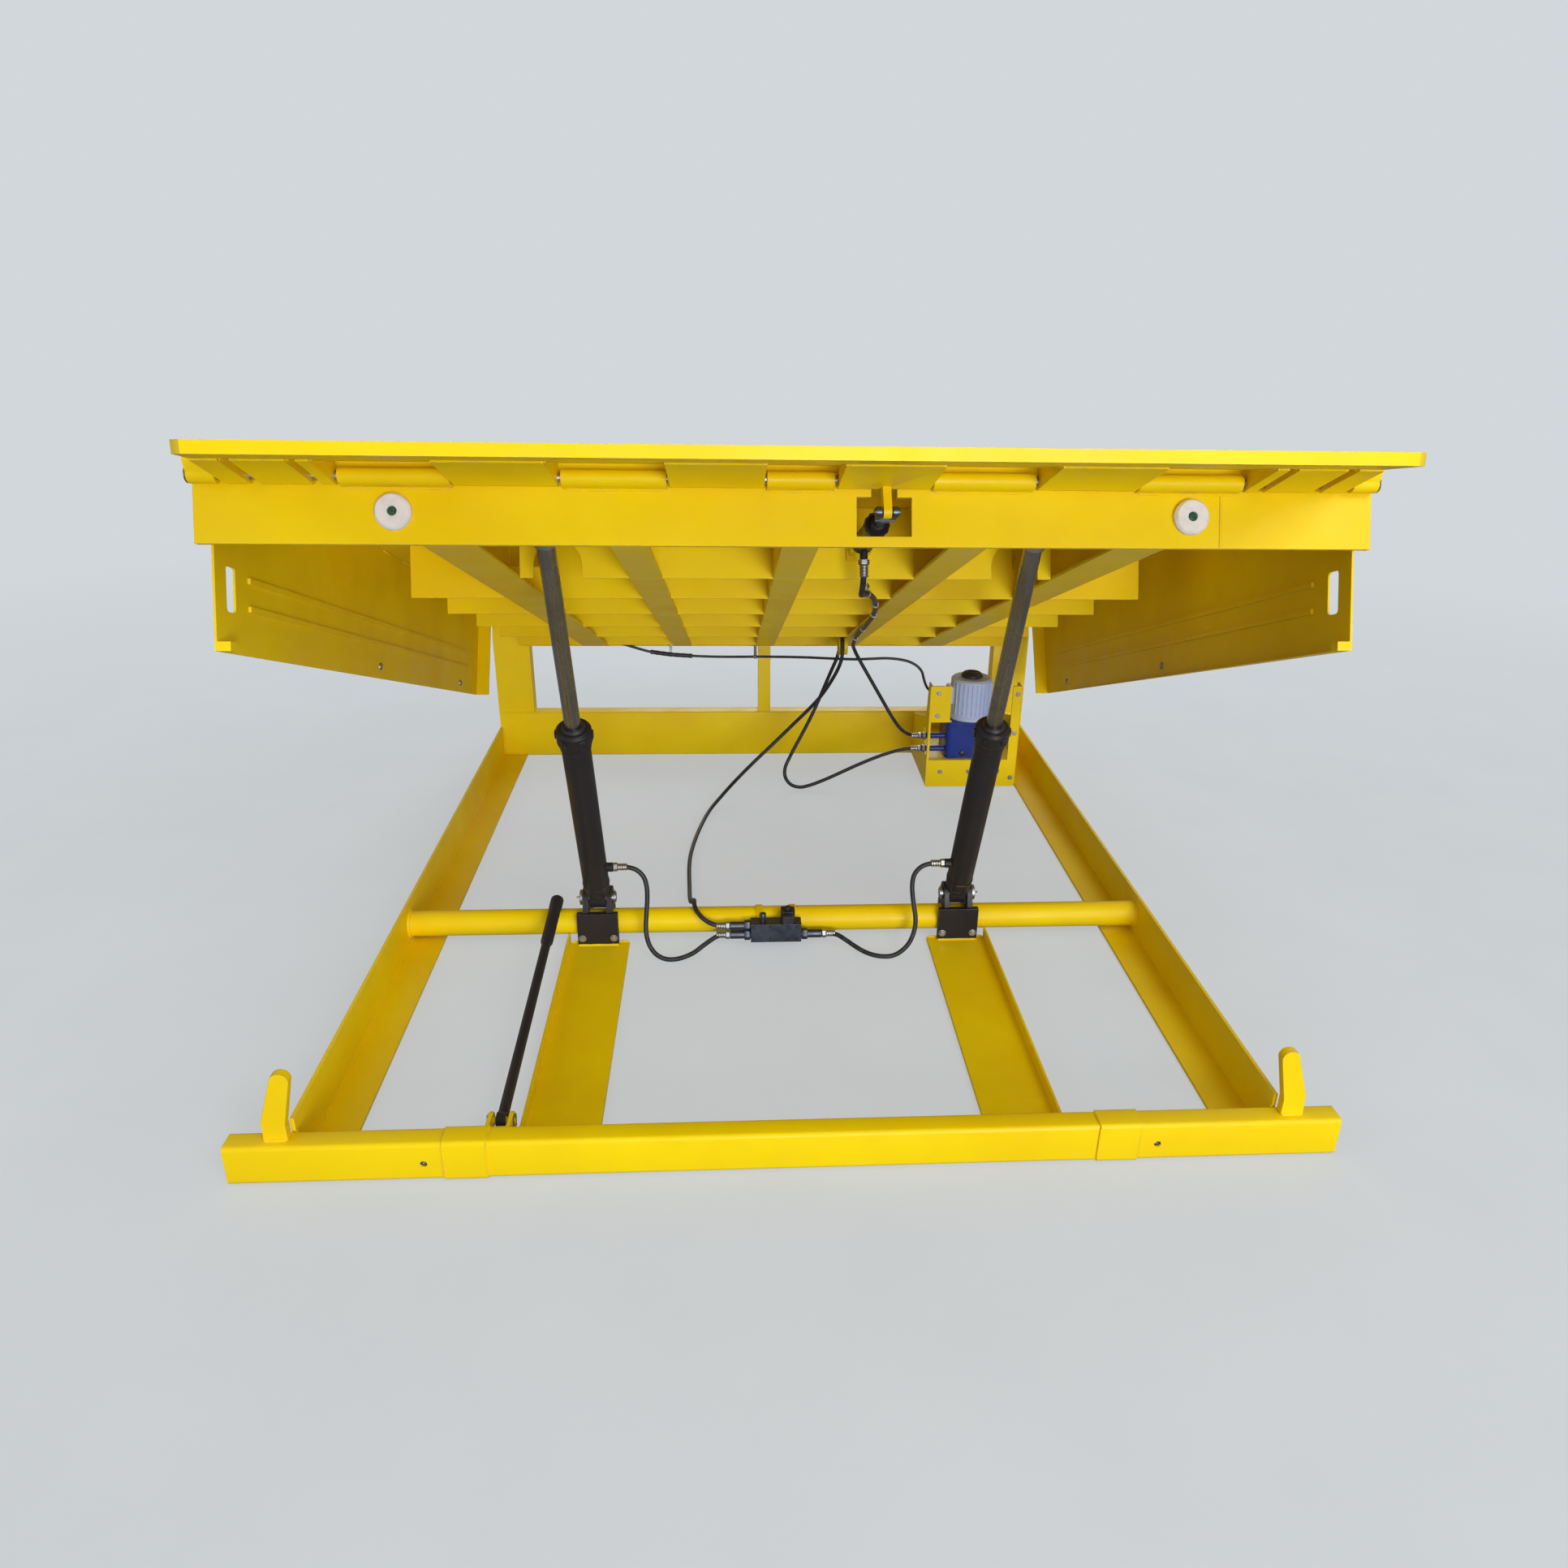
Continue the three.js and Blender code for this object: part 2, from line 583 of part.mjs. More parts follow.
function lipLever() {
  const end = leverEnd();
  const span = [LIP_CYL_X - 7, LIP_CYL_X + 7];
  const bar = box(span, [-11, 11], [-LEVER_LENGTH, 0]);
  bar.rotateX(-(LEVER_LEAN + LIP_DROOP));
  return join(bar, rodX(span, end.y, end.z, 11, 16), rodX(span, 0, 0, KNUCKLE_R));
}

function lipParts() {
  const solids = [lipPlate(), lipLever()];
  for (const [, side] of SIDES) {
    for (const [a, b] of INNER_LUGS) {
      solids.push(lipLug(onSide(side, a, b), 150));
    }
    for (const [a, b] of OUTER_LUGS) {
      solids.push(lipLug(onSide(side, a, b), 120));
    }
    solids.push(lipLug(onSide(side, ...END_LUG), 20));
  }
  const bore = rodX([-DECK_HALF - 5, DECK_HALF + 5], 0, 0, LIP_PIN_R + 0.4, 12);
  part(lip, 'lip_plate', cut(join(...solids), bore), yellow());
}

// ---- lip cylinder ----
function lipCylinder() {
  const end = leverEnd();
  const [c, k] = [Math.cos(LIP_DROOP), Math.sin(LIP_DROOP)];
  const target = { y: -LIP_AXIS_S + end.y * c - end.z * k, z: LIP_AXIS_Z + end.y * k + end.z * c };
  const [dy, dz] = [target.y + LIP_CYL_PIVOT.s, target.z - LIP_CYL_PIVOT.z];
  const length = Math.hypot(dy, dz);
  const cylinder = new THREE.Group();
  cylinder.position.set(LIP_CYL_X, -LIP_CYL_PIVOT.s, LIP_CYL_PIVOT.z);
  cylinder.rotation.x = tiltTowards(dy, dz);
  deck.add(cylinder);
  const shell = turned([
    [0, 21], [20, 21], [20, 250], [13, 256], [13, 262], [8.4, 262], [8.4, 30], [0, 30],
  ], 20);
  const eye = rodX([-11, 11], 0, 0, 16, 20);
  const neck = box([-11, 11], [-11, 11], [0, 24]);
  const port = rodY([-34, -14], 0, LIP_PORT, 8, 12);
  const barrel = cut(join(shell, eye, neck, port), rodX([-20, 20], 0, 0, 8.5, 20));
  part(cylinder, 'lip_cylinder_barrel', barrel, black());
  const rod = turned([[0, 110], [8, 110], [8, length - 30], [0, length - 30]], 20);
  const forkBase = box([-17, 17], [-11, 11], [length - 36, length - 28]);
  const solids = [rod, forkBase];
  for (const [, side] of SIDES) {
    solids.push(box(onSide(side, 9.5, 17), [-9, 9], [length - 36, length]));
    solids.push(rodX(onSide(side, 9.5, 17), 0, length, 9, 16));
  }
  part(cylinder, 'lip_cylinder_rod', join(...solids), bright());
  part(deck, 'lip_cylinder_bracket', lipCylinderBracket(), yellow());
}

function lipCylinderBracket() {
  const { s, z } = LIP_CYL_PIVOT;
  const foot = -(1750 + RIB_WALL / 2 + GAP);
  const solids = [box([LIP_CYL_X - 26, LIP_CYL_X + 26], [foot - 8, foot], [z - 26, z + 26])];
  for (const [, side] of SIDES) {
    const ear = onSide(side, 13, 21).map((x) => x + LIP_CYL_X);
    solids.push(box(ear, [-s, foot], [z - 16, z + 16]));
    solids.push(rodX(ear, -s, z, 16, 20));
  }
  solids.push(rodX([LIP_CYL_X - 24, LIP_CYL_X + 24], -s, z, 8, 20));
  return join(...solids);
}

// ---- maintenance prop, lying back on the cross tube ----
const PROP_X = -576;
const PROP_FOOT = { y: 96, z: 58 };

function prop() {
  const top = { y: TUBE_Y + 6, z: TUBE_Z + TUBE_R + 17 + GAP };
  const [dy, dz] = [top.y - PROP_FOOT.y, top.z - PROP_FOOT.z];
  const length = Math.hypot(dy, dz);
  const group = new THREE.Group();
  group.position.set(PROP_X, PROP_FOOT.y, PROP_FOOT.z);
  group.rotation.x = tiltTowards(dy, dz);
  base.add(group);
  const bar = turned([
    [0, 12], [11, 12], [11, length - 190], [15, length - 180], [15, length - 34], [16.5, length - 26],
    [16.5, length + 14], [12, length + 20], [0, length + 20],
  ], 16);
  const eye = cut(rodX([-9, 9], 0, 0, 17, 20), rodX([-20, 20], 0, 0, 8.5, 16));
  part(group, 'prop_bar', cut(join(bar, eye), rodX([-20, 20], 0, 0, 8.5, 16)), black());
  part(base, 'prop_bracket', propBracket(), yellow());
}

function propBracket() {
  const rows = [FRONT_BEAM_DEPTH + GAP, PROP_FOOT.y];
  const solids = [box([PROP_X - 24, PROP_X + 24], [rows[0], rows[0] + 8], [0, 76])];
  for (const x of [PROP_X - 24, PROP_X + 16]) {
    solids.push(box([x, x + 8], rows, [PROP_FOOT.z - 18, PROP_FOOT.z + 18]));
    solids.push(rodX([x, x + 8], PROP_FOOT.y, PROP_FOOT.z, 18, 20));
  }
  solids.push(rodX([PROP_X - 28, PROP_X + 28], PROP_FOOT.y, PROP_FOOT.z, 8, 16));
  return join(...solids);
}

// ---- hydraulics on the ground frame ----
const VALVE = { y: 834, z: 52, low: 40, high: 66 };
const PACK = { x0: 552, x1: 862, y0: 1895, top: 368, shelf: 102, wall: 6, lapel: 70 };
const TANK = { x: 706, y: 1985, width: 176, depth: 150, height: 130 };
const PORT = { x: 536, y: 1945, supply: 128, lip: 175 };
const MOTOR_FOOT = PACK.shelf + TANK.height + 2 * GAP;
const MOTOR_HEIGHT = 142;
const MOTOR_R = 70;

function valveBlock() {
  const block = box([-75, 55], [VALVE.y - 20, VALVE.y + 20], [VALVE.z - 25, VALVE.z + 26]);
  const through = rodX([-128, 108], VALVE.y, VALVE.low, 11, 12);
  const upper = rodX([-128, 0], VALVE.y, VALVE.high, 11, 12);
  return join(block, through, upper);
}

// folded housing, open at the front and top, fixed to the rear beam
function packHousing() {
  const back = FRAME_LENGTH - GAP;
  const { x0, x1, y0, top, shelf, wall, lapel } = PACK;
  const cheek = outline([
    [y0, 4], [back, 4], [back, REAR_BEAM_HEIGHT - 6], [y0 + 70, 240], [y0 + 48, top], [y0, top],
  ]);
  cheek.holes.push(new THREE.Path([[1918, 108], [1980, 108], [1980, 198], [1918, 198]]
    .map(([y, z]) => new THREE.Vector2(y, z))));
  return join(
    box([x0, x1], [y0, back], [shelf - wall, shelf]),
    alongX(cheek, [x0, x0 + wall]),
    alongX(cheek, [x1 - wall, x1]),
    box([x0, x1], [back - 8, back], [4, REAR_BEAM_HEIGHT - 6]),
    box([x0, x0 + lapel], [y0, y0 + wall], [240, top]),
    box([x1 - 30, x1], [y0, y0 + wall], [4, top]),
    box([x0, x1], [y0, y0 + wall], [4, shelf]));
}

function oilTank() {
  const tank = extrude(roundedRectangle(TANK.width, TANK.depth, 16), TANK.height, 4);
  tank.translate(TANK.x, TANK.y, PACK.shelf + GAP);
  const ports = [PORT.supply, PORT.lip].map((z) => rodX([PORT.x, TANK.x - 80], PORT.y, z, 10, 12));
  return join(tank, ...ports);
}

// motor with its terminal box and cable gland on the left
function pumpMotor() {
  const flange = MOTOR_R + 4;
  const body = turned([
    [0, 0], [flange, 0], [flange, 12], [MOTOR_R, 16],
    [MOTOR_R, MOTOR_HEIGHT - 6], [MOTOR_R - 8, MOTOR_HEIGHT], [0, MOTOR_HEIGHT],
  ]);
  const terminals = box([-78, -50], [-26, 26], [52, 112]);
  const motor = join(body, terminals, rodX([-92, -76], 0, 82, 9, 12));
  motor.translate(TANK.x, TANK.y, MOTOR_FOOT);
  return motor;
}

function motorCap() {
  const cap = turned([[0, 0], [36, 0], [36, 9], [29, 16], [0, 16]]);
  cap.translate(TANK.x, TANK.y, MOTOR_FOOT + MOTOR_HEIGHT + GAP);
  return cap;
}

function hydraulics() {
  part(base, 'valve_block', valveBlock(), bright());
  part(base, 'pack_housing', packHousing(), yellow());
  part(base, 'oil_tank', oilTank(), paint(0x23408f));
  part(base, 'pump_motor', pumpMotor(), paint(0xa9b6d6));
  part(base, 'motor_cap', motorCap(), black());
}

// ---- hoses and cable ----
const HOSE_R = 6;
const CABLE_R = 4.5;

function line(points, radius) {
  const path = new THREE.CatmullRomCurve3(points.map((p) => new THREE.Vector3(...p)), false, 'centripetal');
  const sides = 8;
  const section = outline(Array.from({ length: sides }, (_, i) => [
    radius * Math.cos(2 * Math.PI * i / sides), radius * Math.sin(2 * Math.PI * i / sides)]));
  const steps = Math.round(path.getLength() / 48);
  return new THREE.ExtrudeGeometry(section, { steps, extrudePath: path, bevelEnabled: false });
}

// [x, s, z] on the deck in the ground frame's axes
function fromDeck([x, s, z]) {
  const point = deckPoint({ s, z });
  return [x, point.y, point.z];
}

// from each barrel's port, down in front of the cross tube, to the valve block
const LEFT_HOSE = [
  [-419.7, 844, 234], [-404, 844, 234], [-387, 843, 234], [-362, 841, 227], [-344, 837, 209],
  [-337, 832, 184], [-336, 825, 155], [-338, 818, 126], [-340, 811, 102],
  [-341, 803, 79], [-338, 794, 56], [-329, 784, 34], [-313, 776, 17], [-291, 771, 8],
  [-267, 772, 6.5], [-243, 779, 9], [-220, 791, 14], [-200, 805, 23], [-181, 818, 31],
  [-162, 829.5, 37.5], [-145, 834, 40], [-128.4, 834, 40],
];
const RIGHT_HOSE = [
  [419.7, 844, 234], [404, 844, 234], [387, 843, 234], [362, 841, 227], [344, 837, 209],
  [338, 832, 184], [339, 825, 155], [343, 818, 126], [347, 811, 102],
  [347, 802, 79], [341, 792, 56], [329, 782, 35], [310, 774, 18], [287, 769, 8],
  [262, 769, 6.5], [237, 775, 8], [213, 786, 13], [191, 800, 21], [170, 815, 30],
  [149, 828, 38], [126, 834, 40], [108.4, 834, 40],
];
// from the pump, down and up to the clip under the deck, down to the floor and over the tube
const SUPPLY_HOSE = [
  [535.6, 1945, 128], [505, 1945, 128], [460, 1943, 122], [400, 1936, 106], [330, 1924, 82],
  [200, 1899, 31], [150, 1890, 15], [115, 1886, 9], [83, 1885, 19], [63, 1887, 46],
  [62, 1891, 78], [79, 1898, 118], [150, 1919, 255], [215, 1944, 405], [237, 1956, 455],
  [245, 1960, 494], [245, 1950, 524], [245, 1926, 542], [245, 1894, 542], [245, 1870, 524],
  [244, 1860, 494], [236, 1863, 452], [182, 1893, 340], [80, 1925, 215], [20, 1920, 155],
  [-45, 1893, 100], [-105, 1842, 57], [-155, 1773, 27], [-198, 1680, 9], [-246, 1380, 6.6],
  [-243, 1150, 8], [-236, 1030, 33], [-226, 950, 79], [-222, 922, 93], [-221, 894, 98],
  [-213, 864, 92], [-191, 842, 78], [-161, 834, 67], [-144, 834, 66], [-128.4, 834, 66],
];
// from the pump up to the clip, then forward under the deck to the lip cylinder's port
const LIP_HOSE = [
  [535.6, 1945, 175], [514, 1945, 175], [484, 1940, 185], [458, 1934, 207], [430, 1929, 246],
  [400, 1926, 296], [370, 1925, 347], [341, 1927, 396], [316, 1930, 438], [298, 1927, 470],
  [286, 1908, 497], [279, 1870, 518],
  ...[
    [274, 490, -121], [268, 640, -119], [262, 800, -122], [255, 1000, -120], [243, 1200, -123],
    [222, 1400, -121], [195, 1570, -125], [168, 1690, -132], [151, 1752, -141], [144, 1793, -146],
    [143, 1819, -139], [143, 1836.5, -122], [143, 1843.1, -99], [143, 1843.1, -83.8],
  ].map(fromDeck),
];
// from the motor's gland under the deck's rear edge into the left outer beam
const POWER_CABLE = [
  [613.7, 1985, MOTOR_FOOT + 82], [600, 1985, MOTOR_FOOT + 82], [583, 1985, 316.5],
  [567, 1982.5, 323], [553, 1977, 336], [543, 1969, 354], [534, 1959, 378], [524, 1948, 405],
  [505, 1943, 426], [478, 1940, 441],
  [445, 1940, 449], [400, 1943, 452], [354, 1948, 449], [305, 1962, 443], [255, 1987, 437],
  [205, 2015, 431], [150, 2045, 425], [90, 2075, 418], [30, 2102, 411], [-35, 2124, 405],
  [-105, 2140, 400], [-180, 2149, 398], [-255, 2152, 400], [-330, 2153, 405], [-400, 2155, 414],
  [-460, 2158, 430], [-520, 2163, 447], [-570, 2166, 457], [-605, 2167, 460], [-627.6, 2167, 460],
];

function hoses() {
  part(base, 'hose_left', line(LEFT_HOSE, HOSE_R), rubber());
  part(base, 'hose_right', line(RIGHT_HOSE, HOSE_R), rubber());
  part(base, 'supply_hose', line(SUPPLY_HOSE, HOSE_R), rubber());
  part(base, 'lip_hose', line(LIP_HOSE, HOSE_R), rubber());
  part(base, 'power_cable', line(POWER_CABLE, CABLE_R), rubber());
}

// ---- assembly ----
groundFrame();
lowerMounts();
liftCylinders();
deckParts();
lipParts();
lipCylinder();
prop();
hydraulics();
hoses();

const extent = new THREE.Box3().setFromObject(model);
model.position.y = -(extent.min.y + extent.max.y) / 2;

export default model;
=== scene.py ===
"""Camera, light and looks of a hydraulic pit dock leveller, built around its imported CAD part.

Places are given as on the CAD drawing, in millimetres: x to the right, y back from the front
beam's face, z up. On the deck, s is the distance forward of the rear hinge and z the height
above it. Three frames turn them into metres in the row frame.
"""

import math

import bpy
from mathutils import Matrix, Vector


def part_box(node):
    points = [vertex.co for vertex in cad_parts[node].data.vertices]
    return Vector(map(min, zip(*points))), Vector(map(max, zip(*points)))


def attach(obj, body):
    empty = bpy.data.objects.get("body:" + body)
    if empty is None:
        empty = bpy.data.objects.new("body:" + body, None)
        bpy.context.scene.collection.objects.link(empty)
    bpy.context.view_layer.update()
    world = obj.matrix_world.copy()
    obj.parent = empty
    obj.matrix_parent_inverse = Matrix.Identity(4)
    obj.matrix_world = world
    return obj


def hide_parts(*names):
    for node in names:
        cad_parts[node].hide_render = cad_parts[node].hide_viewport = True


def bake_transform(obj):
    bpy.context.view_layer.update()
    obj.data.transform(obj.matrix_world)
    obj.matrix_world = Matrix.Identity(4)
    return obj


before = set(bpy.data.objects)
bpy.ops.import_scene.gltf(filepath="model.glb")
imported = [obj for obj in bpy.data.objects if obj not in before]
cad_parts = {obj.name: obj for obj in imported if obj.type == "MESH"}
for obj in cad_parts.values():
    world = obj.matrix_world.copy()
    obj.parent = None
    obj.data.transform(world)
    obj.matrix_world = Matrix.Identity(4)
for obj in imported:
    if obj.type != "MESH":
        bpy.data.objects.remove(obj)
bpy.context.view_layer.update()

# ---- frames and shared places ----
MM = 0.001
SIDES = (("left", -1), ("right", 1))
BOTH = (-1, 1)
UP, LEFT, RIGHT, FORWARD = (0, 0, 1), (-1, 0, 0), (1, 0, 0), (0, -1, 0)
SLEEVE_PROUD = 4
DECK_ANGLE = math.radians(20.3)
LIP_DROOP = math.radians(12.3)
LIP_AXIS = (2163, -2)  # s and z on the deck
REAR_HINGE = (2265, 514)  # y and z, as are the next
LIFT_PIN = (892, 124)
LIFT_EYE = (1930, -35)  # s and z on the deck
LIFT_X = 467
PROP_FOOT = (-576, 96, 58)


def middle(node):
    low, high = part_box(node)
    return (low + high) / 2


def scaled(matrix):
    """The same frame, taking millimetres."""
    return matrix @ Matrix.Scale(MM, 4)


GROUND = scaled(Matrix.Translation((0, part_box("front_beam")[0].y + SLEEVE_PROUD * MM, 0)))
HINGE = middle("rear_hinge_shaft")
DECK = scaled(Matrix.Translation(HINGE) @ Matrix.Rotation(-DECK_ANGLE, 4, "X"))
LIP = DECK @ Matrix.Translation((0, -LIP_AXIS[0], LIP_AXIS[1])) @ Matrix.Rotation(LIP_DROOP, 4, "X")


def on_deck(x, s, z):
    return DECK @ Vector((x, -s, z))


def on_ground(x, y, z):
    return GROUND @ Vector((x, y, z))


def facing(frame_matrix, point, direction):
    """A frame at the point whose Z axis looks along the direction."""
    turn = Vector(direction).to_track_quat("Z", "Y").to_matrix().to_4x4()
    return frame_matrix @ Matrix.Translation(point) @ turn


def aimed(point, direction):
    """A millimetre frame at a point of the row frame, whose Z axis looks along the direction."""
    return scaled(facing(Matrix.Identity(4), point, direction))


# ---- mesh building ----
SHARP_ANGLE = math.radians(36)
BEVEL_ANGLE = math.radians(35)
CAD_EDGE = 1.2  # mm, the rounding of the CAD nodes' edges
SAME_CORNER = 0.01  # mm
FLAT_ANGLE = math.radians(0.5)


def spun(profile, sides):
    """The profile's [radius, height] points, repeated round the Z axis."""
    verts = []
    for k in range(sides):
        angle = 2 * math.pi * k / sides
        verts += [(r * math.cos(angle), r * math.sin(angle), h) for r, h in profile]
    return verts


class Shape:
    """Gathers closed solids and becomes one piece."""

    def __init__(self):
        self.verts = []
        self.faces = []

    def add(self, verts, faces, place):
        start = len(self.verts)
        self.verts += [place @ Vector(v) for v in verts]
        self.faces += [[start + i for i in face] for face in faces]

    def turned(self, place, profile, sides=24):
        """A solid of revolution about the place's Z, from [radius, height] points."""
        n = len(profile)
        faces = []
        for k in range(sides):
            a, b = k * n, (k + 1) % sides * n
            faces += [(a + i, b + i, b + i + 1, a + i + 1) for i in range(n - 1)]
        faces.append([k * n for k in reversed(range(sides))])
        faces.append([k * n + n - 1 for k in range(sides)])
        self.add(spun(profile, sides), faces, place)

    def ring(self, place, profile, sides=24):
        """Like turned, for a closed profile that stays off the axis."""
        n = len(profile)
        faces = []
        for k in range(sides):
            a, b = k * n, (k + 1) % sides * n
            for i in range(n):
                j = (i + 1) % n
                faces.append((a + i, b + i, b + j, a + j))
        self.add(spun(profile, sides), faces, place)

    def prism(self, place, outline, height):
        """The outline, raised to the height along the place's Z."""
        n = len(outline)
        verts = [(x, y, 0) for x, y in outline] + [(x, y, height) for x, y in outline]
        faces = [[*reversed(range(n))], [*range(n, 2 * n)]]
        faces += [(i, (i + 1) % n, n + (i + 1) % n, n + i) for i in range(n)]
        self.add(verts, faces, place)

    def block(self, place, x, y, z):
        """A box between the two values of each axis."""
        outline = [(x[0], y[0]), (x[1], y[0]), (x[1], y[1]), (x[0], y[1])]
        self.prism(place @ Matrix.Translation((0, 0, z[0])), outline, z[1] - z[0])

    def tube(self, points, radii, sides=10):
        """A capped tube through points in the row frame; radii in metres, one each or one for all."""
        points = [Vector(p) for p in points]
        if not hasattr(radii, "__len__"):
            radii = [radii] * len(points)
        side = None
        verts = []
        for i, (p, r) in enumerate(zip(points, radii)):
            ahead = (points[min(i + 1, len(points) - 1)] - points[max(i - 1, 0)]).normalized()
            if side is None:
                side = ahead.orthogonal().normalized()
            side = (side - ahead * side.dot(ahead)).normalized()
            up = ahead.cross(side)
            for k in range(sides):
                angle = 2 * math.pi * k / sides
                verts.append(p + side * r * math.cos(angle) + up * r * math.sin(angle))
        faces = []
        for i in range(len(points) - 1):
            for k in range(sides):
                a, b = i * sides + k, i * sides + (k + 1) % sides
                faces.append((a, b, b + sides, a + sides))
        faces.append([*reversed(range(sides))])
        faces.append([*range(len(verts) - sides, len(verts))])
        self.add(verts, faces, Matrix.Identity(4))

    def object(self, name, look, bevel=0.0):
        """The mesh object, shaded smooth up to SHARP_ANGLE."""
        mesh = bpy.data.meshes.new(name)
        mesh.from_pydata(self.verts, [], self.faces)
        mesh.polygons.foreach_set("use_smooth", [True] * len(mesh.polygons))
        mesh.set_sharp_from_angle(angle=SHARP_ANGLE)
        mesh.update()
        piece = bpy.data.objects.new(name, mesh)
        bpy.context.scene.collection.objects.link(piece)
        piece.data.materials.append(look)
        if bevel:
            soften(piece, bevel)
        return piece

    def piece(self, name, body, look, slot, bevel=0.0):
        """The object, riding on its body. The slot is not used."""
        obj = self.object(name, look, bevel)
        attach(obj, body)
        return obj


def soften(obj, width_mm):
    """Rounds the sharp edges, as a press, a grinder or a coat of paint leaves them."""
    bevel = obj.modifiers.new("rounded_edges", "BEVEL")
    bevel.width = width_mm * MM
    bevel.segments = 2
    bevel.limit_method = "ANGLE"
    bevel.angle_limit = BEVEL_ANGLE
    bevel.harden_normals = True


# ---- node materials ----
class Look:
    """A node material: one Principled shader and short ways to feed it."""

    def __init__(self, name, **values):
        self.material = bpy.data.materials.new(name)
        self.material.use_nodes = True
        self.tree = self.material.node_tree
        self.shader = self.tree.nodes["Principled BSDF"]
        for socket, value in values.items():
            self.shader.inputs[socket.replace("_", " ")].default_value = value
        self.place = self.node("TexCoord").outputs["Object"]

    def node(self, kind, inputs=(), **settings):
        made = self.tree.nodes.new("ShaderNode" + kind)
        for key, value in settings.items():
            setattr(made, key, value)
        for key, value in dict(inputs).items():
            self.feed(made.inputs[key], value)
        return made

    def feed(self, socket, value):
        if isinstance(value, bpy.types.NodeSocket):
            self.tree.links.new(value, socket)
        else:
            socket.default_value = value

    def to_shader(self, **values):
        for key, value in values.items():
            self.feed(self.shader.inputs[key.replace("_", " ")], value)

    def noise(self, scale, detail=3.0, stretch=None, roughness=0.55):
        place = self.place
        if stretch:
            place = self.node("Mapping", {"Vector": place, "Scale": stretch}).outputs[0]
        made = self.node("TexNoise", {
            "Vector": place, "Scale": scale, "Detail": detail, "Roughness": roughness})
        return made.outputs["Fac"]

    def between(self, value, low, high, to_low=0.0, to_high=1.0):
        """The value's span low..high, mapped to to_low..to_high and clamped."""
        made = self.node("MapRange", {
            "Value": value, "From Min": low, "From Max": high, "To Min": to_low, "To Max": to_high})
        return made.outputs["Result"]

    def math(self, operation, a, b=0.5):
        made = self.node("Math", operation=operation)
        self.feed(made.inputs[0], a)
        self.feed(made.inputs[1], b)
        return made.outputs[0]

    def mix(self, factor, a, b):
        made = self.node("Mix", data_type="RGBA")
        self.feed(made.inputs["Factor"], factor)
        self.feed(made.inputs[6], a)
        self.feed(made.inputs[7], b)
        return made.outputs[2]

    def bump(self, height, distance, strength=1.0, normal=None):
        inputs = {"Height": height, "Distance": distance, "Strength": strength}
        if normal is not None:
            inputs["Normal"] = normal
        return self.node("Bump", inputs).outputs[0]

    def edges(self, radius):
        """1 along convex and concave edges, 0 on open faces."""
        rounded = self.node("Bevel", {"Radius": radius}, samples=4).outputs[0]
        flat = self.node("NewGeometry").outputs["Normal"]
        same = self.node("VectorMath", {0: rounded, 1: flat}, operation="DOT_PRODUCT").outputs["Value"]
        return self.between(same, 0.995, 0.90)


def colour(red, green, blue):
    """A linear colour from the eye's 0..255 values."""
    def linear(value):
        value /= 255
        return value / 12.92 if value <= 0.04045 else ((value + 0.055) / 1.055) ** 2.4
    return (linear(red), linear(green), linear(blue), 1.0)


def painted_steel(name, fresh, tired, worn, gloss=0.36, wear=0.5):
    """Sprayed steel sheet: uneven coat, orange peel, dust, fine scratches and rubbed edges."""
    look = Look(name, IOR=1.35, Specular_IOR_Level=0.4)
    coat = look.between(look.noise(2.6, 4), 0.34, 0.68)
    blotches = look.between(look.noise(17, 5), 0.42, 0.70)
    paint = look.mix(look.math("MULTIPLY", coat, 0.75), fresh, tired)
    paint = look.mix(look.math("MULTIPLY", blotches, 0.16), paint, tired)
    scratch = look.between(look.noise(9, 6, stretch=(1, 14, 60)), 0.67, 0.72)
    rubbed = look.math("MULTIPLY", look.edges(0.0035), look.between(look.noise(46, 5), 0.46, 0.62))
    mask = look.math("MAXIMUM", look.math("MULTIPLY", scratch, 0.10), look.math("MULTIPLY", rubbed, wear))
    paint = look.mix(mask, paint, worn)
    rough = look.between(look.noise(11, 5), 0.3, 0.75, gloss - 0.06, gloss + 0.16)
    peel = look.bump(look.noise(360, 2), 0.00035, 0.35)
    normal = look.bump(look.noise(5.5, 2), 0.0022, 0.35, peel)
    look.to_shader(Base_Color=paint, Roughness=rough, Normal=normal)
    return look.material


def bare_metal(name, tone, rough, stretch):
    """Machined or plated steel with fine tool marks."""
    look = Look(name, Metallic=1.0)
    marks = look.noise(60, 4, stretch=stretch)
    stain = look.between(look.noise(13, 4), 0.45, 0.75)
    shade = tuple(0.72 * c for c in tone[:3]) + (1.0,)
    look.to_shader(
        Base_Color=look.mix(stain, tone, shade),
        Roughness=look.between(marks, 0.3, 0.7, rough - 0.06, rough + 0.12),
        Normal=look.bump(marks, 0.0001, 0.12))
    return look.material


def hose_cover(name, tone, ridge_pitch):
    """Wrapped rubber cover with faint ridges and a film of dust."""
    look = Look(name, Specular_IOR_Level=0.45)
    dust = look.between(look.noise(55, 5), 0.45, 0.75)
    dusty = tuple(min(1, 3.2 * c + 0.02) for c in tone[:3]) + (1.0,)
    wave = look.node("TexWave", {
        "Vector": look.place, "Scale": 1 / ridge_pitch, "Distortion": 1.5, "Detail": 1.0},
        bands_direction="DIAGONAL")
    look.to_shader(
        Base_Color=look.mix(look.math("MULTIPLY", dust, 0.5), tone, dusty),
        Roughness=look.between(dust, 0, 1, 0.42, 0.66),
        Normal=look.bump(wave.outputs["Fac"], 0.0003, 0.4, look.bump(look.noise(500, 2), 0.0002, 0.3)))
    return look.material


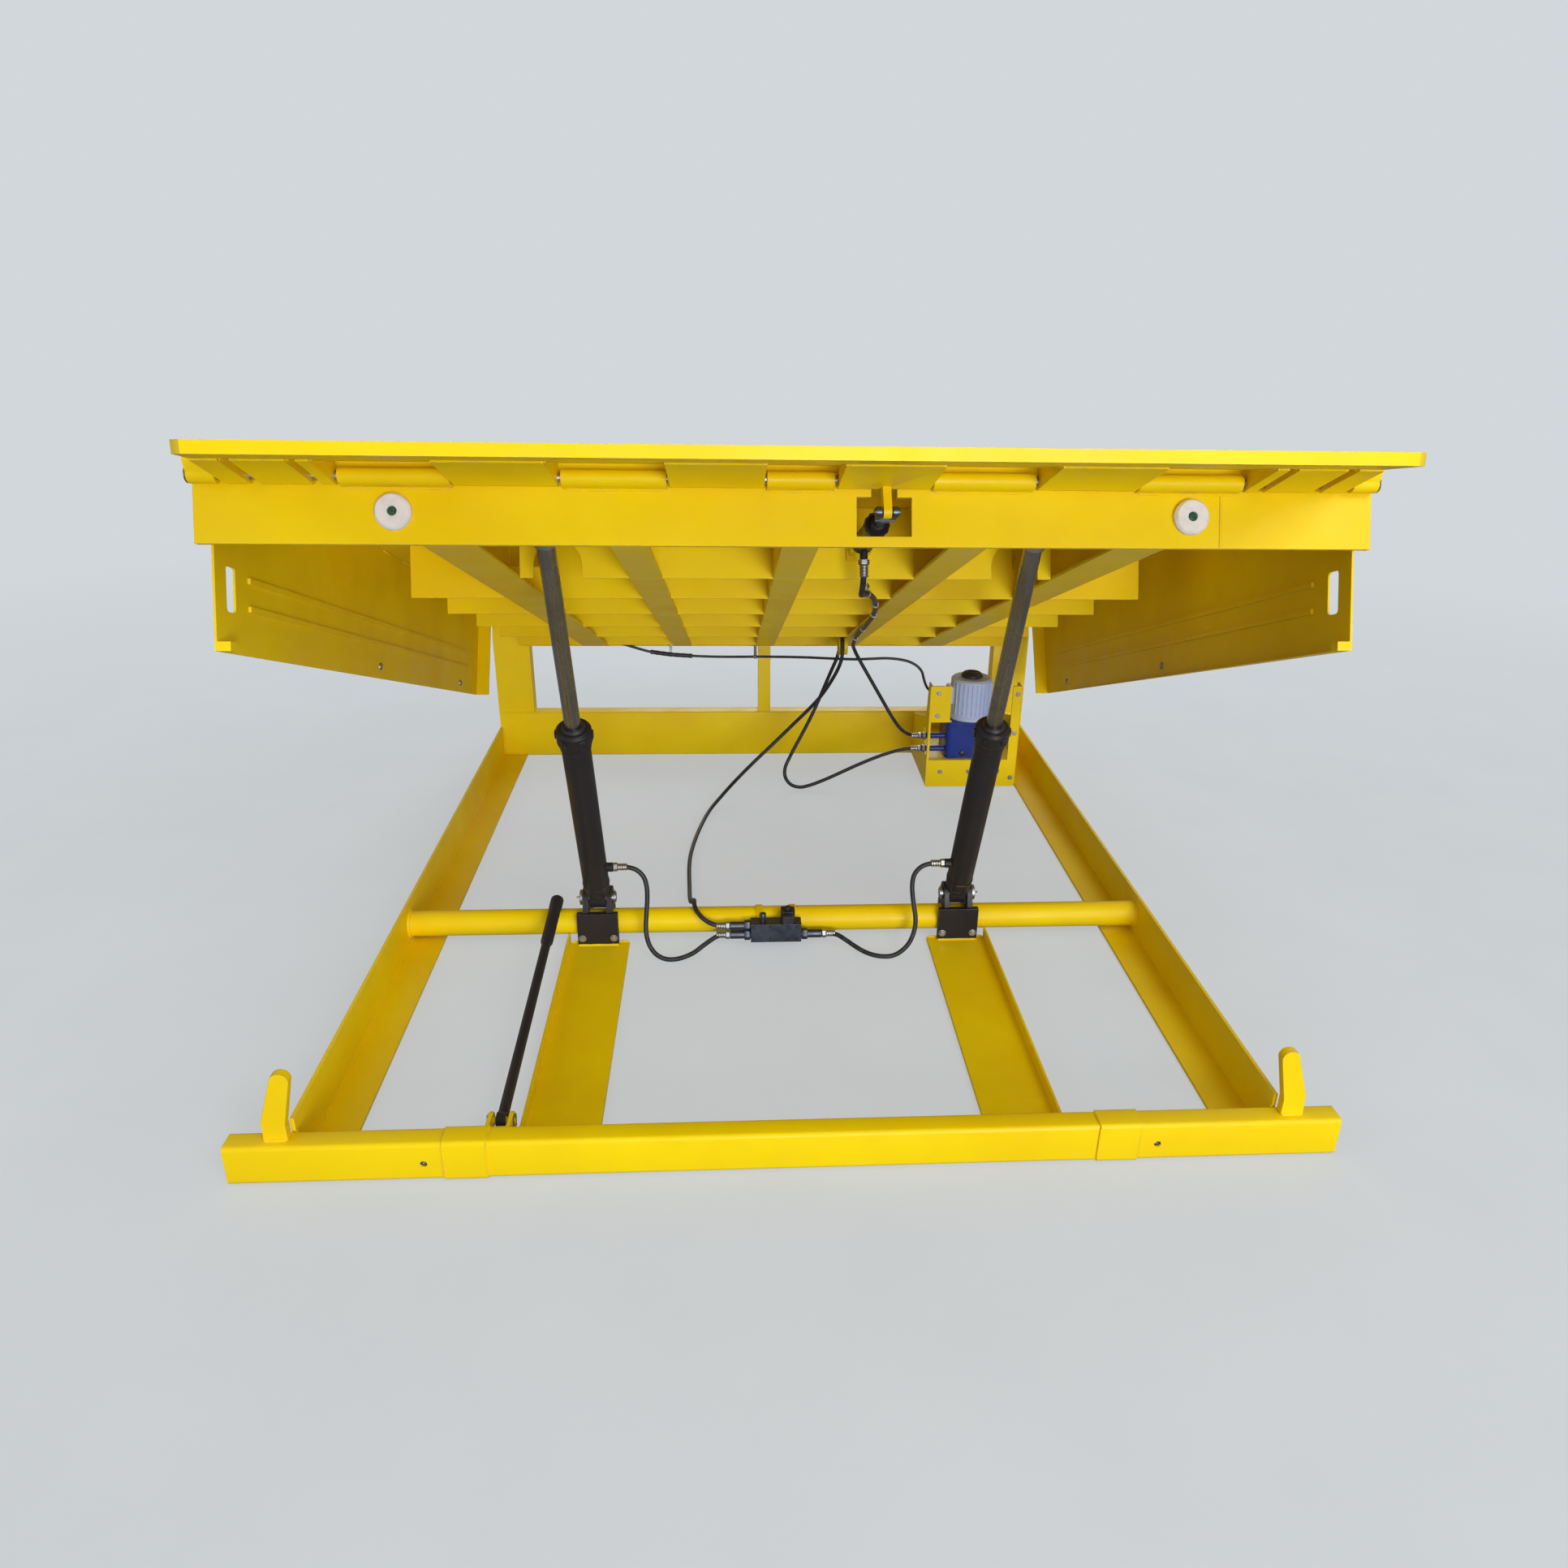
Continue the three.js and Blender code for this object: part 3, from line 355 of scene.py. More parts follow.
def moulded(name, tone, grimy, rough):
    """Plastic or rubber moulding with grime in its surface."""
    look = Look(name, Specular_IOR_Level=0.5)
    grime = look.between(look.noise(38, 5), 0.45, 0.75)
    look.to_shader(
        Base_Color=look.mix(look.math("MULTIPLY", grime, 0.55), tone, grimy),
        Roughness=look.between(look.noise(70, 4), 0.3, 0.7, rough - 0.08, rough + 0.12),
        Normal=look.bump(look.noise(420, 3), 0.0003, 0.4))
    return look.material


YELLOW = painted_steel("yellow_enamel", colour(250, 220, 4), colour(240, 200, 6), colour(196, 176, 120))
TREAD = painted_steel(
    "tread_enamel", colour(236, 204, 12), colour(214, 178, 24), colour(172, 162, 134), 0.34, 0.9)
BLACK = painted_steel(
    "black_enamel", colour(44, 42, 46), colour(30, 29, 33), colour(118, 112, 108), 0.34, 0.6)
TANK_BLUE = painted_steel(
    "blue_enamel", colour(42, 62, 150), colour(30, 44, 112), colour(120, 124, 140), 0.25)
MOTOR_GREY = painted_steel(
    "motor_enamel", colour(196, 212, 248), colour(172, 190, 236), colour(120, 124, 134), 0.28)
ROD_CHROME = bare_metal("rod_chrome", colour(158, 158, 156), 0.24, (1, 1, 0.04))
STEEL = bare_metal("zinc_plated_steel", colour(178, 180, 184), 0.38, (1, 1, 1))
DARK_STEEL = bare_metal("phosphated_steel", colour(96, 102, 116), 0.42, (1, 1, 1))
HOSE_RUBBER = hose_cover("hose_rubber", colour(34, 36, 42), 0.006)
SHEATH = hose_cover("cable_sheath", colour(52, 58, 66), 0.02)
CAP_PLASTIC = moulded("cap_plastic", colour(34, 32, 40), colour(70, 68, 74), 0.4)
BUFFER_RUBBER = moulded("buffer_rubber", colour(236, 234, 240), colour(196, 194, 200), 0.55)
GREEN_STEEL = painted_steel("green_enamel", colour(26, 92, 66), colour(18, 70, 52), colour(120, 130, 120))

LOOKS = {
    "yellow_paint": YELLOW, "black_paint": BLACK, "rod_chrome": ROD_CHROME, "bright_steel": STEEL,
    "hose_rubber": HOSE_RUBBER, "cable_sheath": SHEATH, "cap_plastic": CAP_PLASTIC,
    "buffer_rubber": BUFFER_RUBBER, "tank_blue": TANK_BLUE, "motor_grey": MOTOR_GREY,
}


def dress_cad_nodes():
    """Gives each CAD node its detailed material and softened edges."""
    for name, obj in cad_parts.items():
        slot_name = obj.material_slots[0].material.name.split(".")[0]
        obj.material_slots[0].material = LOOKS[slot_name]
        merge = obj.modifiers.new("shared_corners", "WELD")
        merge.merge_threshold = SAME_CORNER * MM
        flat = obj.modifiers.new("whole_faces", "DECIMATE")
        flat.decimate_type = "DISSOLVE"
        flat.angle_limit = FLAT_ANGLE
        soften(obj, CAD_EDGE)
        if "custom_normal" in obj.data.attributes:
            obj.data.attributes.remove(obj.data.attributes["custom_normal"])
        obj.data.polygons.foreach_set("use_smooth", [True] * len(obj.data.polygons))
    for name in ("valve_block", "lip_cylinder_rod"):
        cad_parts[name].material_slots[0].material = DARK_STEEL


# ---- camera ----
SENSOR = 36
FOCAL_SHARE = 1400 / 1932  # focal length as a share of the picture's width
YAW, PITCH, ROLL = -0.06678, 0.41356, -0.01818
SHIFT_X, SHIFT_Y = -0.0114, 0.0137
CAMERA_AT = (-119.7, -1725.4, 1528.2)


def make_camera():
    """The photograph's point of view."""
    data = bpy.data.cameras.new("camera")
    data.sensor_width = SENSOR
    data.lens = SENSOR * FOCAL_SHARE
    data.shift_x = SHIFT_X
    data.shift_y = SHIFT_Y
    camera = bpy.data.objects.new("camera", data)
    bpy.context.scene.collection.objects.link(camera)
    look = Matrix.Rotation(YAW, 4, "Z") @ Matrix.Rotation(-PITCH, 4, "X") @ Matrix.Rotation(ROLL, 4, "Y")
    level = Matrix.Rotation(math.pi / 2, 4, "X")
    camera.matrix_world = Matrix.Translation(on_ground(*CAMERA_AT)) @ look @ level
    bpy.context.scene.camera = camera


# ---- cords ----
# Each route is a list of (x, y, z) on the ground; LIP_HOSE_DECK is one of (x, s, z) on the deck.
HOSE_D = 0.012
CABLE_D = 0.009
LEFT_HOSE = [
    (-419.7, 844, 234), (-404, 844, 234), (-387, 843, 234), (-362, 841, 227), (-344, 837, 209),
    (-337, 832, 184), (-336, 825, 155), (-338, 818, 126), (-340, 811, 102),
    (-341, 803, 79), (-338, 794, 56), (-329, 784, 34), (-313, 776, 17), (-291, 771, 8),
    (-267, 772, 6.5), (-243, 779, 9), (-220, 791, 14), (-200, 805, 23), (-181, 818, 31),
    (-162, 829.5, 37.5), (-145, 834, 40), (-128.4, 834, 40),
]
RIGHT_HOSE = [
    (419.7, 844, 234), (404, 844, 234), (387, 843, 234), (362, 841, 227), (344, 837, 209),
    (338, 832, 184), (339, 825, 155), (343, 818, 126), (347, 811, 102),
    (347, 802, 79), (341, 792, 56), (329, 782, 35), (310, 774, 18), (287, 769, 8),
    (262, 769, 6.5), (237, 775, 8), (213, 786, 13), (191, 800, 21), (170, 815, 30),
    (149, 828, 38), (126, 834, 40), (108.4, 834, 40),
]
SUPPLY_HOSE = [
    (535.6, 1945, 128), (505, 1945, 128), (460, 1943, 122), (400, 1936, 106), (330, 1924, 82),
    (200, 1899, 31), (150, 1890, 15), (115, 1886, 9), (83, 1885, 19), (63, 1887, 46),
    (62, 1891, 78), (79, 1898, 118), (150, 1919, 255), (215, 1944, 405), (237, 1956, 455),
    (245, 1960, 494), (245, 1950, 524), (245, 1926, 542), (245, 1894, 542), (245, 1870, 524),
    (244, 1860, 494), (236, 1863, 452), (182, 1893, 340), (80, 1925, 215), (20, 1920, 155),
    (-45, 1893, 100), (-105, 1842, 57), (-155, 1773, 27), (-198, 1680, 9), (-246, 1380, 6.6),
    (-243, 1150, 8), (-236, 1030, 33), (-226, 950, 79), (-222, 922, 93), (-221, 894, 98),
    (-213, 864, 92), (-191, 842, 78), (-161, 834, 67), (-144, 834, 66), (-128.4, 834, 66),
]
LIP_HOSE_LOW = [
    (535.6, 1945, 175), (514, 1945, 175), (484, 1940, 185), (458, 1934, 207), (430, 1929, 246),
    (400, 1926, 296), (370, 1925, 347), (341, 1927, 396), (316, 1930, 438), (298, 1927, 470),
    (286, 1908, 497), (279, 1870, 518),
]
LIP_HOSE_DECK = [
    (274, 490, -121), (268, 640, -119), (262, 800, -122), (255, 1000, -120), (243, 1200, -123),
    (222, 1400, -121), (195, 1570, -125), (168, 1690, -132), (151, 1752, -141), (144, 1793, -146),
    (143, 1819, -139), (143, 1836.5, -122), (143, 1843.1, -99), (143, 1843.1, -83.8),
]
MOTOR_FOOT = 232.6
GLAND_Z = MOTOR_FOOT + 82  # the cable's entry in the terminal box
POWER_CABLE = [
    (613.7, 1985, GLAND_Z), (600, 1985, GLAND_Z), (583, 1985, 316.5),
    (567, 1982.5, 323), (553, 1977, 336), (543, 1969, 354), (534, 1959, 378), (524, 1948, 405),
    (505, 1943, 426), (478, 1940, 441),
    (445, 1940, 449), (400, 1943, 452), (354, 1948, 449), (305, 1962, 443), (255, 1987, 437),
    (205, 2015, 431), (150, 2045, 425), (90, 2075, 418), (30, 2102, 411), (-35, 2124, 405),
    (-105, 2140, 400), (-180, 2149, 398), (-255, 2152, 400), (-330, 2153, 405), (-400, 2155, 414),
    (-460, 2158, 430), (-520, 2163, 447), (-570, 2166, 457), (-605, 2167, 460), (-627.6, 2167, 460),
]


def smooth_line(points, step=0.008):
    """A centripetal Catmull-Rom curve through the points, in steps of about that many metres."""
    points = [Vector(p) for p in points]
    ends = [2 * points[0] - points[1], *points, 2 * points[-1] - points[-2]]
    line = []
    for i in range(1, len(ends) - 2):
        p0, p1, p2, p3 = ends[i - 1:i + 3]
        t1 = (p1 - p0).length ** 0.5
        t2 = t1 + (p2 - p1).length ** 0.5
        t3 = t2 + (p3 - p2).length ** 0.5
        count = max(2, round((p2 - p1).length / step))
        for k in range(count):
            t = t1 + (t2 - t1) * k / count
            a1 = p0.lerp(p1, t / t1)
            a2 = p1.lerp(p2, (t - t1) / (t2 - t1))
            a3 = p2.lerp(p3, (t - t2) / (t3 - t2))
            b1 = a1.lerp(a2, t / t2)
            b2 = a2.lerp(a3, (t - t1) / (t3 - t1))
            line.append(b1.lerp(b2, (t - t1) / (t2 - t1)))
    line.append(points[-1])
    return line


def hose_end(name, body, point, towards, radius):
    """A crimped ferrule and its swivel nut, where a hose meets a port; radius in mm."""
    place = aimed(point, towards)
    shape = Shape()
    nut = 1.9 * radius
    shape.turned(place, [(0.6 * nut, 0), (0.9 * nut, 0.6), (nut, 1.8), (nut, 10), (0.9 * nut, 11.4),
                         (0.6 * nut, 12)], 6)
    crimp = [(radius * 1.2, 11)]
    for start in range(13, 31, 6):
        crimp += [(radius * 1.5, start), (radius * 1.5, start + 3), (radius * 1.3, start + 4),
                  (radius * 1.3, start + 5)]
    crimp += [(radius * 1.5, 31), (radius * 1.5, 34), (radius * 1.1, 35.5)]
    shape.turned(place, crimp, 24)
    return shape.piece(name, body, STEEL, "bright_steel", 0.4)


def make_cord(name, points, diameter, look, ends):
    """One hose or cable: its tube, in place of the CAD node, which it hides. The ends are not used."""
    line = smooth_line(points)
    shape = Shape()
    shape.tube(line, diameter / 2, 16)
    tube = shape.object(f"{name}_line", look)
    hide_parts(name)
    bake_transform(tube)


def cord_ends(name, points, start_body, end_body, radius=6):
    """A fitting at each end of the hose, riding on what it is screwed into."""
    first = hose_end(f"{name}_first_fitting", start_body, points[0], points[1] - points[0], radius)
    last = hose_end(f"{name}_last_fitting", end_body, points[-1], points[-2] - points[-1], radius)
    return [first, last]


def cable_relief(name, point, towards):
    """The cable's gland nut and its ribbed sleeve, tapering along the cable."""
    place = aimed(point, towards)
    shape = Shape()
    shape.turned(place, [(7, 0), (9.5, 0.5), (10, 2), (10, 8), (9, 10), (7, 10)], 6)
    ribs = [(6.8, 9)]
    for k in range(4):
        ribs += [(6.8 - 0.35 * k, 12 + 5 * k), (6.0 - 0.35 * k, 13 + 5 * k), (6.0 - 0.35 * k, 15 + 5 * k)]
    shape.turned(place, [*ribs, (5, 32)], 20)
    return shape.piece(name, "base", CAP_PLASTIC, "cap_plastic", 0.3)


def make_cords():
    """The four hoses and the cable."""
    side_hoses = (("hose_left", LEFT_HOSE, "left_barrel"), ("hose_right", RIGHT_HOSE, "right_barrel"))
    for name, route, body in side_hoses:
        points = [on_ground(*p) for p in route]
        make_cord(name, points, HOSE_D, HOSE_RUBBER,
                  cord_ends(name, points, body, "base"))
    points = [on_ground(*p) for p in SUPPLY_HOSE]
    make_cord("supply_hose", points, HOSE_D, HOSE_RUBBER,
              cord_ends("supply_hose", points, "base", "base"))
    points = [on_ground(*p) for p in LIP_HOSE_LOW] + [on_deck(*p) for p in LIP_HOSE_DECK]
    make_cord("lip_hose", points, HOSE_D, HOSE_RUBBER,
              cord_ends("lip_hose", points, "base", "lip_barrel"))
    points = [on_ground(*p) for p in POWER_CABLE]
    relief = cable_relief("power_cable_relief", points[0], points[1] - points[0])
    make_cord("power_cable", points, CABLE_D, SHEATH,
              [relief])


# ---- floor and light ----
BACKDROP = colour(210, 215, 219)
STUDIO_RADIUS = 40000
FLOOR_Z = -0.002
SKY, GROUND_GLOW = 0.40, 0.19
HORIZON_BLEND = 0.25
LIGHTS = (
    ("front", (1.6, -8.5, 1.3), (0, 0, 0.7), 3.0, 400),
    ("key", (2.6, -5.5, 4.6), (0, -0.8, 0.6), 2.5, 130),
    ("side", (-5.5, -2.0, 3.4), (0, 0, 0.6), 3.0, 35),
    ("back", (0.5, 6.5, 3.4), (0, 0.4, 0.6), 3.5, 120),
)


def glowing(look, share):
    """Lets that share of the surface show the backdrop's own colour."""
    glow = look.node("Emission", {"Color": BACKDROP, "Strength": 1.0})
    blend = look.node("MixShader")
    look.feed(blend.inputs[0], share)
    look.feed(blend.inputs[1], look.shader.outputs[0])
    look.feed(blend.inputs[2], glow.outputs[0])
    look.feed(look.tree.nodes["Material Output"].inputs[0], blend.outputs[0])


def make_floor():
    """A pale floor that takes soft shadows and fades into the backdrop."""
    shape = Shape()
    disc = [(0, 0), (STUDIO_RADIUS, 0), (STUDIO_RADIUS, 1), (0, 1)]
    shape.turned(scaled(Matrix.Translation((0, 0, FLOOR_Z))), disc, 64)
    look = Look("pale_floor", Roughness=0.9)
    away = look.node("VectorMath", {0: look.place}, operation="LENGTH").outputs["Value"]
    tone = look.mix(look.between(look.noise(3), 0.3, 0.7), colour(224, 229, 232), colour(216, 221, 225))
    look.to_shader(Base_Color=tone)
    glowing(look, look.between(away, 2.0, 6.0, 0.62, 1.0))
    floor = shape.object("floor", look.material)
    floor.visible_diffuse = False
    floor.visible_glossy = False
    return floor


def make_backdrop():
    """A pale dome round the scene, which only the camera sees."""
    dome = Shape()
    arc = [(STUDIO_RADIUS * math.cos(a), STUDIO_RADIUS * math.sin(a)) for a in (-0.02, 0.3, 0.7, 1.1, 1.5)]
    dome.turned(scaled(Matrix.Identity(4)), arc, 48)
    look = Look("pale_backdrop")
    glowing(look, 1.0)
    backdrop = dome.object("backdrop", look.material)
    for ray in ("diffuse", "glossy", "transmission", "shadow"):
        setattr(backdrop, f"visible_{ray}", False)
    return backdrop


def make_stage():
    """The floor and the backdrop, which aren't part of the object."""
    floor = make_floor()
    backdrop = make_backdrop()


def area_light(name, place, target, size, power):
    data = bpy.data.lights.new(name, "AREA")
    data.size = size
    data.energy = power
    light = bpy.data.objects.new(name, data)
    bpy.context.scene.collection.objects.link(light)
    light.location = place
    aim = Vector(target) - Vector(place)
    light.rotation_mode = "QUATERNION"
    light.rotation_quaternion = aim.to_track_quat("-Z", "Y")


def make_sky():
    """Pale light from above and a dimmer glow from below, as in a hall with a concrete floor."""
    world = bpy.data.worlds.new("studio")
    world.use_nodes = True
    tree = world.node_tree
    direction = tree.nodes.new("ShaderNodeTexCoord").outputs["Generated"]
    height = tree.nodes.new("ShaderNodeSeparateXYZ")
    tree.links.new(direction, height.inputs[0])
    strength = tree.nodes.new("ShaderNodeMapRange")
    tree.links.new(height.outputs["Z"], strength.inputs["Value"])
    spans = {"From Min": -HORIZON_BLEND, "From Max": HORIZON_BLEND, "To Min": GROUND_GLOW, "To Max": SKY}
    for socket, value in spans.items():
        strength.inputs[socket].default_value = value
    background = tree.nodes["Background"]
    background.inputs["Color"].default_value = (1.0, 1.0, 1.0, 1.0)
    tree.links.new(strength.outputs["Result"], background.inputs["Strength"])
    bpy.context.scene.world = world


def make_light():
    """Four soft lamps and the sky."""
    make_sky()
    for light in LIGHTS:
        area_light(*light)
    bpy.context.scene.view_settings.view_transform = "Standard"


# ---- fasteners and welds ----
def bolt(shape, place, size=12):
    """A hexagon head on a washer, standing on the place's XY plane; size is the thread in mm."""
    shape.turned(place, [(0.6 * size, 0), (1.18 * size, 0), (1.22 * size, 0.08 * size),
                         (1.18 * size, 0.18 * size), (0.6 * size, 0.18 * size)], 24)
    flats = 0.94 * size
    shape.turned(place, [(0.5 * size, 0.16 * size), (flats, 0.2 * size), (flats, 0.7 * size),
                         (0.84 * flats, 0.82 * size), (0.01, 0.84 * size)], 6)


def weld(shape, start, end, size=4.0):
    """A rippled bead in the corner from start to end, points in the row frame, size in mm."""
    run = end - start
    count = max(4, round(run.length / (1.5 * size * MM)))
    points = [start + run * (k / count) for k in range(count + 1)]
    radii = [size * MM * (1 + 0.13 * math.sin(2.4 * k) + 0.06 * math.sin(0.7 * k)) for k in range(count + 1)]
    radii[0] = radii[-1] = 0.5 * size * MM
    shape.tube(points, radii, 6)


def stitches(shape, start, end, size=3.5, length=0.055, pitch=0.16):
    """Short welds at an even pitch along a seam."""
    run = end - start
    count = max(1, int(run.length / pitch))
    for k in range(count):
        middle_point = start + run * ((k + 0.5) / count)
        half = run.normalized() * length / 2
        weld(shape, middle_point - half, middle_point + half, size)


def weld_ring(shape, place, radius, size=4.0):
    """A rippled bead round a tube of that radius, in the place's XY plane."""
    count = max(16, round(2 * math.pi * radius / (1.6 * size)))
    points, radii = [], []
    for k in range(count + 1):
        angle = 2 * math.pi * k / count
        points.append(place @ Vector((radius * math.cos(angle), radius * math.sin(angle), 0)))
        radii.append(size * MM * (1 + 0.14 * math.sin(2.4 * k)))
    shape.tube(points, radii, 6)


def band(shape, place, inner, outer, low, high, sides=32):
    """A ring with broken edges, round the place's Z."""
    e = min(0.8, (high - low) / 4, (outer - inner) / 3)
    shape.ring(place, [(inner, low), (outer - e, low), (outer, low + e), (outer, high - e),
                       (outer - e, high), (inner, high)], sides)


def rounded_outline(width, height, radius, steps=4):
    """A rounded rectangle about the origin."""
    points = []
    for quarter, (cx, cy) in enumerate(((1, 1), (-1, 1), (-1, -1), (1, -1))):
        for k in range(steps + 1):
            angle = math.pi / 2 * (quarter + k / steps)
            points.append((cx * (width / 2 - radius) + radius * math.cos(angle),
                           cy * (height / 2 - radius) + radius * math.sin(angle)))
    return points


# ---- ground frame details ----
TUBE = (892, 54, 33)  # the cross tube's y, z and radius
BEAM_BACK = 51
PLATE_BACK = 857
CLEVIS_FACE = 842
REAR_FACE = 2228
POST_DEPTH = 59
POST_FOOT = 167
SIDE_WALL_X = 949
SIDE_FLANGE = (870, 946)


def ground_welds():
    """The front beam's, side members', rear posts', clevises' and cross tube's seams."""
    shape = Shape()

    def line(start, end, size=4.0):
        weld(shape, on_ground(*start), on_ground(*end), size)

    for side in BOTH:
        line((side * SIDE_FLANGE[0], BEAM_BACK, 9), (side * SIDE_FLANGE[1], BEAM_BACK, 9))
        line((side * SIDE_WALL_X, BEAM_BACK, 12), (side * SIDE_WALL_X, BEAM_BACK, 84))
        line((side * SIDE_FLANGE[0], REAR_FACE - 1, 9), (side * SIDE_FLANGE[1], REAR_FACE - 1, 9))
        line((side * SIDE_WALL_X, REAR_FACE - 1, 12), (side * SIDE_WALL_X, REAR_FACE - 1, 108))
        plate = (side * (LIFT_X - 76), side * (LIFT_X + 70))
        line((plate[0], BEAM_BACK, 11), (plate[1], BEAM_BACK, 11))
        line((plate[0], PLATE_BACK, 11), (plate[1], PLATE_BACK, 11), 3)
        for y in (19.5, 40.5):
            line((side * 956, y, 86), (side * 997, y, 86), 3)
        for x in (588, 668):
            line((side * x, -2.5, 8), (side * x, -2.5, 82), 2.6)
            line((side * x, 2, 86.5), (side * x, 47, 86.5), 2.6)
        for y in (REAR_FACE + 0.5, REAR_FACE + POST_DEPTH + 0.5):
            line((side * 833, y, POST_FOOT), (side * 956, y, POST_FOOT))
        line((side * (LIFT_X - 52), CLEVIS_FACE - 1, 11), (side * (LIFT_X + 52), CLEVIS_FACE - 1, 11), 3.2)
        weld_ring(shape, facing(GROUND, (side * SIDE_WALL_X, TUBE[0], TUBE[1]), RIGHT), TUBE[2] + 1)
    for y in (REAR_FACE + 0.5, REAR_FACE + POST_DEPTH + 0.5):
        line((-21, y, POST_FOOT), (21, y, POST_FOOT))
    line((PROP_FOOT[0] - 24, BEAM_BACK, 77), (PROP_FOOT[0] + 24, BEAM_BACK, 77), 3)
    shape.piece("ground_welds", "base", YELLOW, "yellow_paint")


def ground_bolts():
    """Two bolts in front of each clevis, and the rims of the front beam's sockets."""
    shape = Shape()
    for side in BOTH:
        for x in (-40, 40):
            bolt(shape, facing(GROUND, (side * LIFT_X + x, CLEVIS_FACE, 30), FORWARD), 8)
        socket = facing(GROUND, (side * 706, 9, 38), FORWARD)
        shape.turned(socket, [(6.6, -2), (6.6, 2), (5.8, 3), (3.4, 3), (3.0, 0.5), (0.01, 0.4)], 18)
    shape.piece("ground_bolts", "base", STEEL, "bright_steel", 0.3)


def pin_keepers():
    """Collars, circlips and grease nipples on the ends of the shafts and pins."""
    shape = Shape()
    for side in BOTH:
        end = facing(GROUND, (side * 957.5, *REAR_HINGE), (side, 0, 0))
        band(shape, end, 16.2, 25, 0, 4)
        shape.turned(end, [(15.6, 4), (14, 5.6), (0.01, 5.6)], 24)
        pin = facing(GROUND, (side * (LIFT_X + 46), *LIFT_PIN), (side, 0, 0))
        shape.turned(pin, [(3.6, 0), (3.6, 3), (2.2, 4), (2.2, 7), (2.8, 8), (1.4, 10), (0.01, 10)], 12)
        circlip = facing(GROUND, (side * (LIFT_X - 41), *LIFT_PIN), (-side, 0, 0))
        band(shape, circlip, 13, 18.5, 0, 1.6)
    foot_x, foot_y, foot_z = PROP_FOOT
    for way in BOTH:
        washer = facing(GROUND, (foot_x + 25 * way, foot_y, foot_z), (way, 0, 0))
        band(shape, washer, 7.6, 14, 0, 2)
        split_pin = [on_ground(foot_x + 27.5 * way, foot_y, foot_z + z) for z in (-12, 0, 12)]
        shape.tube(split_pin, 1.5 * MM, 8)
    shape.piece("pin_keepers", "base", STEEL, "bright_steel", 0.2)


def valve_details():
    """The clamps, screws, port nuts, knob and coil of the valve block."""
    clamps = Shape()
    for x in (-52, 34):
        ring = facing(GROUND, (x, TUBE[0], TUBE[1]), RIGHT)
        band(clamps, ring, TUBE[2] + 0.3, TUBE[2] + 3.5, -9, 9, 36)
        clamps.block(GROUND, (x - 9, x + 9), (853, 862), (32, 76))
    clamps.piece("valve_clamps", "base", YELLOW, "yellow_paint", 0.6)
    steel = Shape()
    for x in (-66, -22, 22, 46):
        for z in (34, 71):
            head = facing(GROUND, (x, 814, z), FORWARD)
            steel.turned(head, [(4.4, 0), (4.6, 3.6), (4.0, 4.4), (2.4, 4.4), (2.2, 2), (0.01, 2)], 16)
    for x, z in ((-84, 40), (-84, 66), (64, 40)):
        nut = facing(GROUND, (x, 834, z), RIGHT)
        steel.turned(nut, [(9, -8), (14, -7.4), (15, -6), (15, 6), (14, 7.4), (9, 8)], 6)
    knob = facing(GROUND, (-44, 834, 78), UP)
    steel.turned(knob, [(8, 0), (8, 5), (5, 6), (5, 13), (8.5, 14), (8.5, 22), (7.5, 23.5), (0.01, 23.5)], 20)
    steel.piece("valve_fittings", "base", DARK_STEEL, "bright_steel", 0.3)
    coil = Shape()
    coil.prism(facing(GROUND, (20, 834, 78), UP), rounded_outline(36, 34, 5), 34)
    coil.turned(facing(GROUND, (20, 834, 112), UP), [(9, 0), (9, 6), (7.5, 8), (0.01, 8)], 20)
    coil.prism(facing(GROUND, (20, 812, 98), FORWARD), rounded_outline(26, 22, 4), 14)
    coil.piece("valve_coil", "base", CAP_PLASTIC, "cap_plastic", 0.8)


# ---- power pack details ----
TANK = (706, 1985)
TANK_TOP = 232.3
TANK_HALF = (88, 75)
TANK_FRONT = TANK[1] - TANK_HALF[1]
MOTOR_TOP = MOTOR_FOOT + 142.3
FIN_COUNT = 30
BOX_SIDE = 0.62  # radians kept free of fins on each side of the terminal box


def motor_details():
    """Cooling fins, terminal box lid, screws and the grille over the fan."""
    fins = Shape()
    for k in range(FIN_COUNT):
        angle = 2 * math.pi * k / FIN_COUNT
        if abs(math.remainder(angle - math.pi, 2 * math.pi)) > BOX_SIDE:
            turn = scaled(Matrix.Translation(on_ground(*TANK, MOTOR_FOOT)) @ Matrix.Rotation(angle, 4, "Z"))
            fins.block(turn, (68, 73), (-1.2, 1.2), (20, 130))
    fins.prism(facing(GROUND, (629, TANK[1], GLAND_Z), LEFT), rounded_outline(50, 58, 5), 5)
    fins.piece("motor_fins", "base", MOTOR_GREY, "motor_grey", 0.6)
    screws = Shape()
    for y in (-19, 19):
        for z in (-23, 23):
            spot = facing(GROUND, (624, TANK[1] + y, GLAND_Z + z), LEFT)
            screws.turned(spot, [(2.6, 0), (2.6, 1.2), (1.8, 2), (0.01, 2)], 14)
    for x, y in ((-76, -63), (-76, 63), (76, 63)):
        bolt(screws, facing(GROUND, (TANK[0] + x, TANK[1] + y, TANK_TOP), UP), 6)
    screws.piece("motor_screws", "base", STEEL, "bright_steel", 0.2)
    grille = Shape()
    top = Matrix.Translation(on_ground(*TANK, MOTOR_TOP))
    for k in range(20):
        turn = scaled(top @ Matrix.Rotation(math.pi * k / 10, 4, "Z"))
        grille.block(turn, (35, 37), (-1.8, 1.8), (2, 8))
    for inner, outer in ((8, 11), (15, 18), (22, 25)):
        band(grille, scaled(top), inner, outer, 15, 17.5)
    grille.piece("motor_cap_grille", "base", CAP_PLASTIC, "cap_plastic", 0.4)


